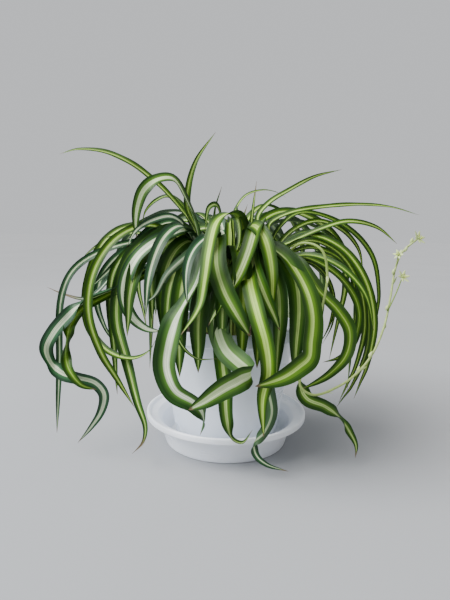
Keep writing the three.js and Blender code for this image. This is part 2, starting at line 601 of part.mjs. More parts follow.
function named(name, geometry, kind) {
  const material = new THREE.MeshStandardMaterial({
    color: COLOURS[kind], roughness: ROUGHNESS[kind], metalness: 0,
  });
  const mesh = new THREE.Mesh(geometry, material);
  mesh.name = name;
  return mesh;
}

const group = new THREE.Group();
group.add(named('saucer', saucerGeometry(), 'saucer'));
group.add(named('pot', geometryOf(potSolid()), 'pot'));
group.add(named('soil', geometryOf(soilSolid()), 'soil'));

const rosettes = { left: LEFT_LEAVES, front: FRONT_LEAVES, right: RIGHT_LEAVES, back: BACK_LEAVES };
for (const [name, leaves] of Object.entries(rosettes)) {
  group.add(named(`crown_${name}`, geometryOf(rosetteSolid(name, leaves)), 'leaf'));
}
group.add(named('flower_stalk', geometryOf(stalkSolid()), 'stalk'));

export default group;
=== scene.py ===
"""A variegated spider plant in a white pot that stands in a saucer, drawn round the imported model.

Sizes and places are in millimetres until a mesh is made, and MM turns them into metres.
"""
import random
from math import atan2, cos, floor, hypot, pi, radians, sin, sqrt
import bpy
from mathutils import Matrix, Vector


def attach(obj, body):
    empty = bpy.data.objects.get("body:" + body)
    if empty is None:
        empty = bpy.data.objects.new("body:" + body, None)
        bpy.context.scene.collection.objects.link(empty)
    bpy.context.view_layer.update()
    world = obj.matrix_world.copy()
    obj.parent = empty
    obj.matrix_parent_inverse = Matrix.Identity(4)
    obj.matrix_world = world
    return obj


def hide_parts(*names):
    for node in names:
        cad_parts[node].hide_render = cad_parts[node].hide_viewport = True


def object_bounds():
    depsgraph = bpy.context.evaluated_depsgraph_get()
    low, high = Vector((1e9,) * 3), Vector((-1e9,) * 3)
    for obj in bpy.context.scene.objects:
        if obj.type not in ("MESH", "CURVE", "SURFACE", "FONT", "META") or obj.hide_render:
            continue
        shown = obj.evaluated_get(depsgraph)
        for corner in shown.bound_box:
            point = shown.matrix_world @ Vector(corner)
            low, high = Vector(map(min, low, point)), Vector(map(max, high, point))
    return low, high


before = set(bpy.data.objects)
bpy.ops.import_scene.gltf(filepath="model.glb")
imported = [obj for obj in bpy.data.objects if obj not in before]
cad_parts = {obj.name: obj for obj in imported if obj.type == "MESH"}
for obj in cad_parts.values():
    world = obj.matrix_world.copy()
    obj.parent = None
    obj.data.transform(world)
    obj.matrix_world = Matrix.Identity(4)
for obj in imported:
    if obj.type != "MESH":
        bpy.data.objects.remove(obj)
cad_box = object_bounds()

from types import SimpleNamespace as Values

import bmesh
import bpy
import numpy as np
from mathutils import Matrix, Vector, noise

MM = 0.001
SEED = 11
BODY = "root"

# The camera of the photograph
CAMERA = Values(place=(-3.5, -491.0, 214.0), down=8.3, roll=1.3, lens=30.0, nearest=10.0)

# The driving sizes of the solids
GAP = 0.3
SAUCER = Values(
    base=60.0, shoulder=66.5, shoulder_height=21.0, notch=3.5, lip=80.0, lip_underside=26.0, lip_width=3.0,
    height=32.0, wall=2.2, floor=3.0, edge=1.2,
)
POT = Values(
    base=50.0, top=68.0, height=118.0, wall=2.0, floor=3.0, edge=0.8, rim_height=13.0, rim_proud=1.6,
    foot_height=2.0, foot_width=5.0, holes=5, hole_radius=4.0, hole_circle=26.0,
)
SOIL = Values(surface=110.0, relief=1.6, wave_pitch=0.15, wave_share=0.65, crumb_pitch=0.5, crumb_bend=0.3)
BLADE = Values(
    samples=14, base_width=0.42, full_at=0.38, swell=1.3, base_fold=38.0, tip_fold=16.0, fold_end=0.45,
)
ARCH = Values(rise_step=30.0, fall_step=30.0, shown_below=0.45)
ROOTS = {
    "left": (-24, 2, 112),
    "front": (2, -24, 112),
    "right": (28, 5, 112),
    "back": (0, 32, 112),
    "stalk": (40, -24, 112),
}
POT_BASE = SAUCER.floor + GAP
POT_TOP = POT_BASE + POT.height

# What the finer pieces add
ROUND_SIDES = 128
CORNER = Values(pot=1.1, saucer=1.5, cuts=4)
SHARP = Values(leaf=50.0, moulded=70.0, soil=180.0, grain=30.0)
DRILL = Values(over=4.0, sides=24)
RING_STEP = 2
ACROSS = (-1.0, -0.72, -0.45, -0.2, 0.0, 0.2, 0.45, 0.72, 1.0)
VALLEY = 0.18
THICKNESS = Values(midrib=0.75, edge=0.3, full_from=3.0)
LEAST_HALF = 0.12
WAVE = Values(height=0.35, length=34.0, full_from=5.0)
FLAT = Values(foot=0.03, gutter=0.06, disc=0.012, disc_width=0.3, disc_height=0.6)
BASE_SPREAD = Values(least=3.5, most=8.5, until=58.0, sink=9.0, sink_until=12.0)
SOIL_BED = Values(
    rings=34, sides=112, crumb=0.55, crumb_pitch=0.55, rise=0.6, relief_share=0.8, edge_drop=0.5,
    edge_width=0.6,
)
GRAINS = Values(
    count=420, margin=4.0, white_share=0.14, white_size=(0.6, 1.3), chip_size=(0.7, 2.2), width=(0.5, 1.0),
    height=(0.35, 0.7), jag=0.18, turn=6.28, tilt=0.4, rise=0.1, white_tone=0.95, chip_tone=0.85,
)

# The light and the floor, in metres. Key and room are in balance, so that no seam shows behind the floor.
KEY = Values(strength=5.6, angle=50.0, colour=(1.0, 0.98, 0.95), towards=(0.7, 0.28, -1.0))
WINDOW = Values(
    place=(-1.2, -0.35, 0.75), aim=(0, 0, 0.13), size=1.1, power=20.0, colour=(0.82, 0.9, 1.0),
)
ROOM = Values(colour=(0.95, 0.97, 1.0), strength=0.7)
FLOOR_TONES = ((0.322, 0.33, 0.343), (0.332, 0.34, 0.353))
FLOOR_REACH = 9.0

# Directions that a blade's upper side can face at a point of its midrib
UP = (0, 0, 1)
FRONT = (0, -1, 0)
BACK = (0, 1, 0)
RIGHT = (1, 0, 0)
SLANT = (0, -0.7, 0.7)
LEFT_FRONT = (-0.8, -0.6, 0)

# A leaf's look: how yellow its green is, how much of its width the pale stripe takes, how white the stripe is
SILVER = (0.0, 0.32, 0.9)
BLUISH = (0.1, 0.19, 0.75)
NARROW = (0.05, 0.11, 0.9)
PLAIN = (0.8, 0.18, 0.25)
BRIGHT = (1.0, 0.28, 0.05)
PALE = (0.75, 0.29, 0.65)
GLOSSY = (0.95, 0.34, 0.35)
MILKY = (0.3, 0.44, 0.95)
STREAKED = (0.95, 0.19, 0.12)
OLIVE = (1.0, 0.12, 0.05)
LIME = (1.0, 0.19, 0.1)
DARK = (0.95, 0.08, 0.05)
SHADED = (0.75, 0.14, 0.2)
WHITISH = (0.6, 0.25, 1.0)

# How full a slender leaf stays towards its tip; broader leaves stay fuller
SLIM = 2.6


def leaf(look, width, fullness, path, shape=None, dry=0.02, shift=0.0):
    """A curly leaf: look, full width, fullness, midrib points, dry share of its tip, shift of its stripe."""
    return Values(look=look, width=width, fullness=fullness, path=path, shape=shape, dry=dry, shift=shift)


def arch(look, width, fullness, heading, lean, top, reach, drop, turn, hang=0, sweep=0):
    """An arching leaf, whose midrib follows from the same sizes and angles as its solid's."""
    return leaf(look, width, fullness, None, (heading, lean, top, reach, drop, turn, hang, sweep))


LEFT_LEAVES = [
    leaf(SILVER, 13.5, 5, [(-45, -15, 191), (-75, -28, 176), (-101, -37, 158), (-131, -42, 144, UP),
        (-148, -45, 129, FRONT), (-160, -46, 114, FRONT), (-166, -47, 100), (-161, -50, 88, UP),
        (-149, -54, 80, FRONT), (-135, -54, 76), (-120, -52, 71, FRONT), (-113, -49, 60), (-116, -47, 43),
        (-127, -46, 25), (-139, -45, 10)]),
    arch(BLUISH, 7, 6, 197, 50, 199, 135, 52, 88, 132),
    leaf(LIME, 9, 4, [(-42, 14, 207), (-80, 16, 214), (-106, 14, 211, SLANT), (-123, 8, 199),
        (-133, -2, 177, FRONT), (-139, -9, 145), (-134, -20, 118), (-112, -40, 99), (-85, -60, 97),
        (-68, -72, 107), (-59, -80, 123)]),
    arch(PLAIN, 6, SLIM, 176, 65, 206, 128, 44, 60, 10),
    leaf(NARROW, 8, SLIM, [(-42, -4, 204), (-78, -15, 195), (-106, -21, 172, SLANT), (-124, -24, 151),
        (-136, -24, 144, SLANT), (-160, -22, 149), (-173, -20, 154)], dry=0.16),
    arch(LIME, 8.5, 6, 209, 58, 214, 118, 72, 122, 58, 28),
    leaf(SHADED, 12.5, 3.5, [(-38, -12, 210), (-64, -30, 208), (-88, -38, 189, SLANT),
        (-100, -40, 158, FRONT), (-102, -41, 126), (-91, -51, 92), (-79, -65, 58), (-71, -72, 38),
        (-73, -74, 25), (-82, -76, 15)], dry=0.06),
    leaf(MILKY, 13, 8, [(-36, -26, 208), (-60, -53, 203), (-78, -61, 189, SLANT), (-89, -63, 168, FRONT),
        (-90, -63, 150, FRONT), (-83, -63, 134), (-71, -64, 125), (-58, -65, 123)]),
    arch(BLUISH, 12, 3.5, 243, 45, 214, 99, 74, 92),
    leaf(SILVER, 11, SLIM, [(-25, -22, 192), (-30, -47, 193), (-40, -62, 186), (-53, -67, 173, BACK),
        (-63, -70, 155), (-74, -74, 147)]),
    leaf(LIME, 8, 5, [(-34, 4, 208), (-50, 7, 232), (-75, 9, 257), (-101, 11, 275), (-124, 13, 284, SLANT),
        (-150, 13, 286), (-168, 12, 281)]),
    leaf(LIME, 8, SLIM, [(-30, -8, 205), (-41, -12, 232), (-40, -12, 252), (-33, -8, 276, FRONT),
        (-16, -3, 302)]),
    leaf(PALE, 13, 6, [(-31, -20, 212), (-42, -32, 240), (-52, -38, 255), (-64, -43, 254, SLANT),
        (-76, -46, 245, FRONT), (-82, -46, 230), (-84, -44, 214), (-84, -40, 203)]),
    arch(DARK, 8, SLIM, 156, 40, 243, 74, 30, 85),
    arch(PLAIN, 9, 4, 200, 55, 196, 92, 45, 94, 96),
    arch(BLUISH, 10, SLIM, 190, 55, 194, 104, 52, 122, 28),
    leaf(DARK, 11, 9, [(-44, -14, 180), (-80, -31, 167), (-114, -38, 148, SLANT), (-136, -40, 135),
        (-144, -44, 122, FRONT), (-146, -49, 108, RIGHT), (-145, -55, 93), (-139, -60, 82, FRONT),
        (-130, -61, 72), (-117, -59, 67)]),
    arch(SILVER, 11, SLIM, 219, 38, 222, 86, 32, 80),
    arch(BLUISH, 14, SLIM, 198, 32, 216, 60, 22, 50, 78),
    arch(BLUISH, 9, SLIM, 184, 52, 197, 93, 50, 95, 90),
    arch(SHADED, 15, 4, 228, 34, 210, 92, 62, 85, 35),
    arch(PLAIN, 12, 4, 214, 22, 204, 58, 40, 92, 40),
    arch(SHADED, 16, 5, 236, 22, 200, 62, 44, 92, 44),
    arch(SILVER, 11, 4, 200, 24, 199, 50, 34, 92, 36),
    leaf(NARROW, 11, 4, [(-23, -22, 200), (-21, -46, 205), (-30, -61, 196, SLANT), (-35, -73, 184),
        (-36, -83, 169, FRONT), (-34, -89, 150)]),
    leaf(WHITISH, 20, 6, [(-16, -28, 196), (-16, -46, 203), (-23, -61, 186), (-28, -71, 168),
        (-37, -80, 151, LEFT_FRONT), (-45, -88, 136), (-50, -95, 118, FRONT), (-51, -100, 100),
        (-43, -103, 82, FRONT), (-26, -103, 71, FRONT), (-19, -95, 55, RIGHT), (-22, -89, 39)], shift=-0.2),
    leaf(PLAIN, 7, SLIM, [(-33, -32, 192), (-42, -58, 173), (-46, -74, 142), (-40, -84, 118), (-26, -88, 106),
        (-9, -89, 106)]),
    arch(SHADED, 17, 5, 257, 30, 186, 80, 50, 94, 48),
    arch(SHADED, 14, SLIM, 249, 34, 187, 80, 46, 94, 48),
    leaf(PLAIN, 18, 8, [(-15, -22, 200), (-12, -46, 203), (-11, -72, 182), (-4, -86, 162), (7, -90, 143),
        (18, -87, 125)]),
    leaf(LIME, 7, SLIM, [(-14, -4, 205), (-15, -6, 228), (-9, -6, 252)], dry=0.08),
    leaf(PLAIN, 10, SLIM, [(-12, -16, 205), (-10, -22, 226), (-14, -27, 234), (-20, -31, 231, FRONT),
        (-23, -34, 210)]),
]

FRONT_LEAVES = [
    leaf(BRIGHT, 15, 4, [(12, -14, 198), (9, -32, 218), (2, -48, 226), (-11, -66, 219), (-17, -82, 195),
        (-20, -91, 171), (-24, -97, 150), (-38, -100, 128)]),
    leaf(LIME, 11, SLIM, [(13, -8, 206), (5, -14, 226), (4, -31, 228), (8, -44, 214), (7, -54, 198),
        (-2, -64, 179)]),
    leaf(GLOSSY, 16, 5, [(22, -16, 202), (25, -36, 219), (20, -59, 209), (14, -70, 190), (6, -74, 171),
        (-6, -76, 152), (-17, -80, 132)]),
    arch(BRIGHT, 14, 4, 304, 30, 216, 62, 62, 95, 8),
    leaf(PLAIN, 16, 7, [(19, -18, 194), (18, -44, 201), (21, -70, 180), (29, -84, 160), (38, -90, 141),
        (42, -89, 131)]),
    leaf(BRIGHT, 16, 4.5, [(20, -26, 182), (16, -52, 184), (18, -82, 165), (23, -98, 146), (30, -104, 123),
        (33, -104, 100), (29, -101, 76), (31, -99, 43)]),
    leaf(STREAKED, 19, 9, [(32, -20, 194), (43, -43, 195), (56, -64, 179), (65, -80, 160), (68, -90, 143),
        (66, -99, 124), (64, -105, 113), (56, -110, 107, FRONT), (45, -111, 99, FRONT), (33, -109, 93, FRONT),
        (22, -107, 89)]),
    leaf(PLAIN, 14, 6, [(13, -20, 181), (3, -50, 183), (-4, -70, 147), (-6, -80, 116), (-2, -88, 84),
        (0, -90, 56, FRONT), (5, -92, 38, UP), (14, -93, 35), (22, -93, 47)]),
    leaf(PALE, 20, 9, [(8, -24, 167), (-6, -50, 157), (-10, -72, 134), (-3, -88, 115, BACK),
        (9, -101, 106, BACK), (18, -110, 101, RIGHT), (10, -117, 98, FRONT), (-3, -121, 91, FRONT),
        (-17, -120, 81, FRONT), (-30, -117, 72)]),
    leaf(BLUISH, 12, 4, [(23, -28, 181), (30, -54, 165), (33, -78, 120), (34, -86, 84), (38, -89, 60),
        (32, -91, 44, BACK), (24, -90, 33), (26, -90, 23, FRONT), (35, -90, 15), (54, -90, 9)], dry=0.03),
    arch(SHADED, 17, 5, 240, 18, 176, 56, 42, 92, 44),
    arch(DARK, 17, 5, 297, 26, 196, 53, 45, 92, 56),
    arch(SHADED, 19, 5, 324, 34, 196, 72, 48, 92, 60),
    arch(SHADED, 16, 4, 262, 20, 186, 54, 40, 92, 30),
    arch(DARK, 17, 4, 281, 20, 198, 53, 50, 92, 52),
    arch(SHADED, 16, 4, 312, 30, 188, 62, 46, 92, 58),
    leaf(LIME, 7, SLIM, [(18, -4, 205), (13, -2, 222), (16, -2, 236)], dry=0.08),
    leaf(LIME, 7, SLIM, [(19, -8, 206), (21, -7, 228), (24, -5, 258)], dry=0.12),
    leaf(LIME, 6, SLIM, [(4, -16, 200), (3, -15, 225), (13, -14, 243), (29, -12, 249), (42, -8, 248),
        (53, -4, 243)]),
]

RIGHT_LEAVES = [
    leaf(LIME, 7, SLIM, [(32, 6, 204), (27, 9, 224), (38, 12, 239), (58, 17, 252, SLANT),
        (83, 22, 266, FRONT), (111, 28, 274)]),
    leaf(LIME, 7, SLIM, [(39, 6, 205), (39, 5, 218), (57, 3, 229), (92, 7, 236, SLANT), (130, 11, 239, SLANT),
        (160, 12, 237), (187, 12, 230)]),
    arch(DARK, 6, 4, 10, 42, 230, 131, 78, 92, 55),
    leaf(LIME, 6.5, 3.5, [(42, -1, 191), (60, -9, 202), (84, -16, 214, SLANT), (110, -18, 222),
        (137, -18, 217, FRONT), (157, -18, 202)]),
    arch(OLIVE, 8, 4, 339, 50, 208, 115, 88, 112, 34),
    arch(DARK, 7, 4, 354, 52, 196, 112, 84, 130, 26),
    arch(DARK, 7, 3.5, 329, 50, 190, 118, 66, 88),
    arch(DARK, 7, 3.5, 9, 62, 189, 118, 58, 88),
    leaf(DARK, 13, 5, [(42, -4, 186), (62, -24, 184), (82, -43, 158, SLANT), (97, -52, 143),
        (107, -58, 126, FRONT), (104, -64, 106), (90, -68, 90, FRONT), (74, -70, 80), (64, -71, 76)]),
    leaf(PLAIN, 15, 4, [(46, -6, 178), (58, -25, 164), (64, -42, 122, RIGHT), (64, -53, 82, RIGHT),
        (71, -62, 65, FRONT), (88, -64, 58, FRONT), (102, -63, 47, RIGHT), (112, -63, 33, FRONT),
        (118, -62, 21), (118, -62, 9)], dry=0.03),
    arch(DARK, 5, SLIM, 8, 45, 182, 82, 50, 135),
    leaf(DARK, 5, 3.5, [(44, 6, 177), (60, 12, 185), (75, 18, 183, SLANT), (92, 20, 172), (103, 20, 158),
        (108, 18, 137, FRONT), (104, 14, 116), (95, 10, 98)]),
    arch(LIME, 7, SLIM, 44, 26, 209, 54, 20, 75),
    arch(DARK, 7, 3.5, 355, 48, 211, 98, 74, 92, 30),
    arch(LIME, 7, 3.5, 15, 60, 222, 118, 55, 88),
    arch(SHADED, 9, SLIM, 352, 30, 177, 63, 45, 95, 35),
    arch(OLIVE, 7, 4, 346, 50, 203, 106, 82, 118, 40),
    leaf(DARK, 9, 5, [(42, -2, 180), (67, -14, 188), (95, -20, 177, SLANT), (115, -22, 158),
        (124, -22, 139, FRONT), (124, -22, 120), (118, -22, 102), (107, -22, 92), (92, -22, 87)]),
]

BACK_LEAVES = [
    arch(LIME, 11, SLIM, 20, 62, 232, 150, 75, 96, 92, 18),
    arch(PLAIN, 13, SLIM, 27, 68, 222, 164, 80, 95, 112, -20),
    arch(BRIGHT, 11, SLIM, 33, 46, 238, 112, 70, 100, 50, 24),
    arch(PLAIN, 14, SLIM, 44, 66, 230, 158, 80, 96, 92, -14),
    arch(BRIGHT, 12, SLIM, 54, 56, 216, 134, 66, 98, 66, 26),
    arch(BLUISH, 15, SLIM, 64, 70, 226, 166, 85, 95, 110, -18),
    arch(SILVER, 12, SLIM, 74, 44, 220, 104, 64, 102, 46, 16),
    arch(PLAIN, 14, SLIM, 84, 68, 224, 160, 80, 95, 114, 24),
    arch(BRIGHT, 13, SLIM, 94, 58, 222, 140, 80, 97, 80, -24),
    arch(BLUISH, 12, SLIM, 104, 68, 220, 164, 75, 96, 104, 16),
    arch(SILVER, 13, SLIM, 114, 46, 226, 108, 66, 100, 52, -20),
    arch(PLAIN, 14, SLIM, 124, 66, 228, 160, 85, 95, 108, 20),
    arch(BRIGHT, 11, SLIM, 135, 58, 222, 138, 70, 97, 72, -24),
    arch(BLUISH, 13, SLIM, 146, 66, 230, 160, 80, 96, 98, 20),
    arch(PLAIN, 10, SLIM, 157, 50, 220, 118, 66, 98, 56, -16),
    arch(PLAIN, 12, SLIM, 170, 24, 212, 60, 44, 95, 40),
    arch(DARK, 13, SLIM, 12, 24, 208, 58, 44, 95, 36),
    arch(SILVER, 13, SLIM, 119, 20, 210, 54, 46, 95, 40),
    arch(BRIGHT, 12, SLIM, 88, 15, 218, 44, 40, 100, 36),
]

ROSETTES = {"left": LEFT_LEAVES, "front": FRONT_LEAVES, "right": RIGHT_LEAVES, "back": BACK_LEAVES}

STALK = Values(
    foot_radius=1.3, tip_radius=0.85, sides=10, bottom=99.0, samples=8, shoot_radius=0.7, shoot_taper=0.7,
    shoot_sides=8, short_radius=0.5, short_tip_radius=0.4,
)
STALK_PATH = [
    (47, -33, 180), (62, -48, 201), (78, -60, 197), (84, -62, 176), (80, -66, 146), (70, -78, 110),
    (61, -86, 84), (72, -89, 77), (92, -88, 84), (108, -87, 96), (121, -83, 112), (131, -77, 134),
    (137, -70, 159), (141, -65, 182), (147, -62, 196), (160, -60, 208),
]
SIDE_SHOOT = [(134, -74, 147), (140, -74, 162), (144, -75, 176)]
SHORT_SHOOT = [(141, -65, 183), (142, -65, 189), (143, -65, 194)]
# Place, facing and petal length of each flower, place and length of each bud
STAR_FLOWERS = [
    ((160, -60, 208), (0.5, -0.7, 0.5), 7.5),
    ((144, -75, 176), (0.3, -0.8, 0.5), 6.5),
    ((143, -65, 194), (-0.6, -0.7, 0.4), 5.0),
]
BUDS = [
    ((133, -75, 150), 6.0), ((139, -67, 180), 6.0), ((150, -62, 199), 6.0),
    ((155, -60, 206), 6.0), ((119, -84, 111), 7.0), ((109, -86, 99), 6.0),
]
BUD_SHAPE = Values(lean=0.35, girth=0.24)
FLOWER = Values(
    petals=6, girth=0.2, power=0.8, flatness=0.3, cup=0.35, heart_length=2.2, heart_girth=1.2, stamens=6,
    stamen=0.45, stamen_girth=0.16, stamen_lean=0.5, anther_at=0.85, anther_length=1.2, anther_girth=0.42,
)
BRACT = Values(
    at=(0.3, 0.44, 0.56, 0.66, 0.76, 0.85, 0.92), open=0.4, length=(6.0, 9.0), girth=1.3, power=0.9,
    flatness=0.25,
)
# How far each part is petal, how far anther, and its place from the stalk's foot to its tip
TONE = Values(
    stem=(0, 0, None), shoot=(0, 0, 0.1), short=(0, 0, 0.8), petal=(1, 0, 0.5), anther=(0, 1, 0.5),
    heart=(0.3, 0, 0.5), bud=(0.55, 0, 0.7), bract=(0.35, 0, 0.6),
)


# Shader helpers
def is_socket(value):
    return isinstance(value, bpy.types.NodeSocket)


def add(tree, kind, inputs=None, **settings):
    """The outputs of a new node. Each of its inputs is a value or the socket that feeds it."""
    node = tree.nodes.new(kind)
    for key, value in settings.items():
        setattr(node, key, value)
    for key, value in (inputs or {}).items():
        if is_socket(value):
            tree.links.new(value, node.inputs[key])
        else:
            node.inputs[key].default_value = value
    return node.outputs


def maths(tree, operation, *values):
    return add(tree, "ShaderNodeMath", dict(enumerate(values)), operation=operation)[0]


def ramp(tree, value, start, end, low=0.0, high=1.0):
    """Goes smoothly from low to high while the value goes from start to end."""
    inputs = {"Value": value, "From Min": start, "From Max": end, "To Min": low, "To Max": high}
    return add(tree, "ShaderNodeMapRange", inputs, interpolation_type="SMOOTHSTEP")[0]


def blend(tree, share, first, second, mode="MIX"):
    """The first colour, with a share of the second laid over it."""
    first, second = [colour if is_socket(colour) else (*colour, 1.0) for colour in (first, second)]
    inputs = {0: share, 6: first, 7: second}
    return add(tree, "ShaderNodeMix", inputs, data_type="RGBA", blend_type=mode)[2]


def texture(tree, place, stretch, detail=2.0):
    """Noise at a place that is stretched by three factors."""
    stretched = add(tree, "ShaderNodeVectorMath", {0: place, 1: stretch}, operation="MULTIPLY")[0]
    return add(tree, "ShaderNodeTexNoise", {"Vector": stretched, "Scale": 1.0, "Detail": detail})[0]


def named_values(tree, name):
    """Three values that a mesh holds under a name, as one vector and apart."""
    vector = add(tree, "ShaderNodeAttribute", attribute_name=name)["Vector"]
    return vector, add(tree, "ShaderNodeSeparateXYZ", {0: vector})


def object_place(tree):
    return add(tree, "ShaderNodeTexCoord")["Object"]


def make_bump(tree, strength, distance, height):
    return add(tree, "ShaderNodeBump", {"Strength": strength, "Distance": distance, "Height": height})[0]


def make_skin(tree, colour, roughness, inputs):
    inputs = {"Base Color": colour, "Roughness": roughness, **inputs}
    return add(tree, "ShaderNodeBsdfPrincipled", inputs)[0]


def lit_through(tree, share, skin, glow, inputs):
    """A skin that lets a share of the light through in the colour of its glow."""
    through = add(tree, "ShaderNodeBsdfTranslucent", {"Color": glow, **inputs})[0]
    return add(tree, "ShaderNodeMixShader", {0: share, 1: skin, 2: through})[0]


def new_material(name):
    material = bpy.data.materials.new(name)
    material.use_nodes = True
    tree = material.node_tree
    tree.nodes.clear()
    return material, tree


def finished(material, shader):
    add(material.node_tree, "ShaderNodeOutputMaterial", {"Surface": shader})
    return material


# Materials
# The under colour is partly the duller green of a leaf's underside and partly painted shade, darker than that
# green
LEAF_COLOURS = Values(
    cool_margin=(0.006, 0.046, 0.014), warm_margin=(0.019, 0.062, 0.002), cool_inner=(0.046, 0.165, 0.058),
    warm_inner=(0.13, 0.275, 0.014), pale_stripe=(0.5, 0.7, 0.12), white_stripe=(0.88, 0.96, 0.74),
    base=(0.42, 0.55, 0.13), dry=(0.17, 0.13, 0.07), under=(0.07, 0.14, 0.05), glow=(1.25, 1.35, 0.55),
)
LEAF_PATTERN = Values(
    ragged=0.34, stripe_in=0.05, stripe_out=0.08, stripe_least=0.55, inner_width=0.58, inner_share=0.9,
    midrib=(0.015, 0.06), midrib_share=0.45, midrib_cool=0.25, under_share=0.45, base=(0.02, 0.2),
    base_share=0.7,
)
LEAF_SURFACE = Values(
    rough=(0.34, 0.5), rough_under=0.12, shine=(0.45, 0.22), bump=(0.3, 0.00035), through=0.24,
)
SAUCER_COLOUR = (0.88, 0.91, 0.96)
POT_COLOUR = (0.82, 0.87, 0.95)
DUST_COLOUR = (0.62, 0.59, 0.53)
DUSTY = Values(saucer=0.2, pot=0.1)
LOAM = Values(dark=(0.02, 0.012, 0.007), light=(0.105, 0.062, 0.034), damp=(0.022, 0.015, 0.01))
BARK = Values(dark=(0.03, 0.017, 0.009), light=(0.16, 0.09, 0.045), dirt=(0.02, 0.014, 0.01))
PERLITE = (0.66, 0.63, 0.57)
STEM = Values(foot=(0.22, 0.36, 0.05), tip=(0.5, 0.6, 0.22), grain=(0.2, 0.28, 0.07))
PETAL = (0.64, 0.75, 0.34)
ANTHER = (0.5, 0.56, 0.02)


def leaf_material():
    material, tree = new_material("variegated_leaf")
    colours = LEAF_COLOURS
    pattern = LEAF_PATTERN
    surface = LEAF_SURFACE
    place, (across, _, _) = named_values(tree, "place")
    _, (warmth, stripe, white) = named_values(tree, "look")
    _, (along, dry, under) = named_values(tree, "ends")
    streaks = texture(tree, place, (5.0, 0.05, 3.0), 3.0)
    fine = texture(tree, place, (19.0, 0.06, 3.0))
    patches = texture(tree, place, (0.6, 0.28, 5.0))

    from_midrib = maths(tree, "ABSOLUTE", across)
    waver = maths(tree, "MULTIPLY", maths(tree, "SUBTRACT", streaks, 0.5), pattern.ragged)
    ragged = maths(tree, "ADD", from_midrib, waver)
    inner_edge = maths(tree, "SUBTRACT", stripe, pattern.stripe_in)
    outer_edge = maths(tree, "ADD", stripe, pattern.stripe_out)
    in_stripe = ramp(tree, ragged, inner_edge, outer_edge, 1.0, 0.0)
    in_stripe = maths(tree, "MULTIPLY", in_stripe, ramp(tree, fine, 0.3, 0.62, pattern.stripe_least, 1.0))
    inner_end = maths(tree, "ADD", stripe, pattern.inner_width)
    in_inner = ramp(tree, ragged, stripe, inner_end, pattern.inner_share, 0.0)
    margin = blend(tree, warmth, colours.cool_margin, colours.warm_margin)
    inner = blend(tree, warmth, colours.cool_inner, colours.warm_inner)
    stripe_colour = blend(tree, white, colours.pale_stripe, colours.white_stripe)
    body = blend(tree, in_inner, margin, inner)
    body = blend(tree, in_stripe, body, stripe_colour)
    in_midrib = ramp(tree, from_midrib, *pattern.midrib, pattern.midrib_share, 0.0)
    in_midrib = maths(tree, "MULTIPLY", in_midrib, ramp(tree, warmth, 0.2, 1.0, pattern.midrib_cool, 1.0))
    body = blend(tree, in_midrib, body, inner)
    shade = ramp(tree, patches, 0.3, 0.7, 0.8, 1.15)
    lines = ramp(tree, fine, 0.3, 0.7, 0.86, 1.1)
    tone = maths(tree, "MULTIPLY", shade, lines)
    grey = add(tree, "ShaderNodeCombineXYZ", {0: tone, 1: tone, 2: tone})[0]
    body = blend(tree, 1.0, body, grey, "MULTIPLY")
    # The underside takes a duller, darker green: partly its own colour, partly painted shade
    body = blend(tree, maths(tree, "MULTIPLY", under, pattern.under_share), body, colours.under)
    at_base = ramp(tree, along, *pattern.base, pattern.base_share, 0.0)
    body = blend(tree, at_base, body, colours.base)
    dry_from = maths(tree, "SUBTRACT", 1.0, dry)
    dry_to = maths(tree, "SUBTRACT", 1.0, maths(tree, "MULTIPLY", dry, 0.5))
    body = blend(tree, ramp(tree, along, dry_from, dry_to), body, colours.dry)

    rough_under = maths(tree, "MULTIPLY", under, surface.rough_under)
    roughness = maths(tree, "ADD", ramp(tree, streaks, 0.3, 0.7, *surface.rough), rough_under)
    height = maths(tree, "ADD", fine, maths(tree, "MULTIPLY", streaks, 0.7))
    normal = {"Normal": make_bump(tree, *surface.bump, height)}
    shine = ramp(tree, warmth, 0.0, 0.8, *surface.shine)
    skin = make_skin(tree, body, roughness, {"Specular IOR Level": shine, **normal})
    glow = blend(tree, 1.0, body, colours.glow, "MULTIPLY")
    return finished(material, lit_through(tree, surface.through, skin, glow, normal))


def plastic_material(name, colour, dusty):
    """Smooth moulded plastic, a little uneven in gloss and tint, with faint scuffs and patches of dust."""
    material, tree = new_material(name)
    place = object_place(tree)
    cloud = texture(tree, place, (22.0, 22.0, 22.0), 3.0)
    grain = texture(tree, place, (900.0, 900.0, 900.0))
    scuffs = texture(tree, place, (60.0, 60.0, 420.0), 4.0)
    dust = maths(tree, "MULTIPLY", ramp(tree, cloud, 0.45, 0.72), dusty)
    tint = blend(tree, dust, colour, DUST_COLOUR)
    scuffed = ramp(tree, scuffs, 0.55, 0.75, 0.0, 0.12)
    roughness = maths(tree, "ADD", ramp(tree, cloud, 0.3, 0.7, 0.26, 0.36), scuffed)
    return finished(material, make_skin(tree, tint, roughness, {
        "Specular IOR Level": 0.5, "Normal": make_bump(tree, 0.12, 0.0002, grain),
        "Subsurface Weight": 0.12, "Subsurface Radius": (0.004, 0.004, 0.005), "Subsurface Scale": 1.0,
    }))


def soil_material():
    """Dark crumbly potting mix."""
    material, tree = new_material("potting_mix")
    place = object_place(tree)
    crumbs = texture(tree, place, (420.0, 420.0, 420.0), 5.0)
    damp = texture(tree, place, (40.0, 40.0, 40.0))
    colour = blend(tree, ramp(tree, crumbs, 0.35, 0.68), LOAM.dark, LOAM.light)
    colour = blend(tree, ramp(tree, damp, 0.4, 0.65, 0.0, 0.5), colour, LOAM.damp)
    normal = {"Normal": make_bump(tree, 0.8, 0.0012, crumbs)}
    return finished(material, make_skin(tree, colour, ramp(tree, damp, 0.4, 0.65, 0.95, 0.7), normal))


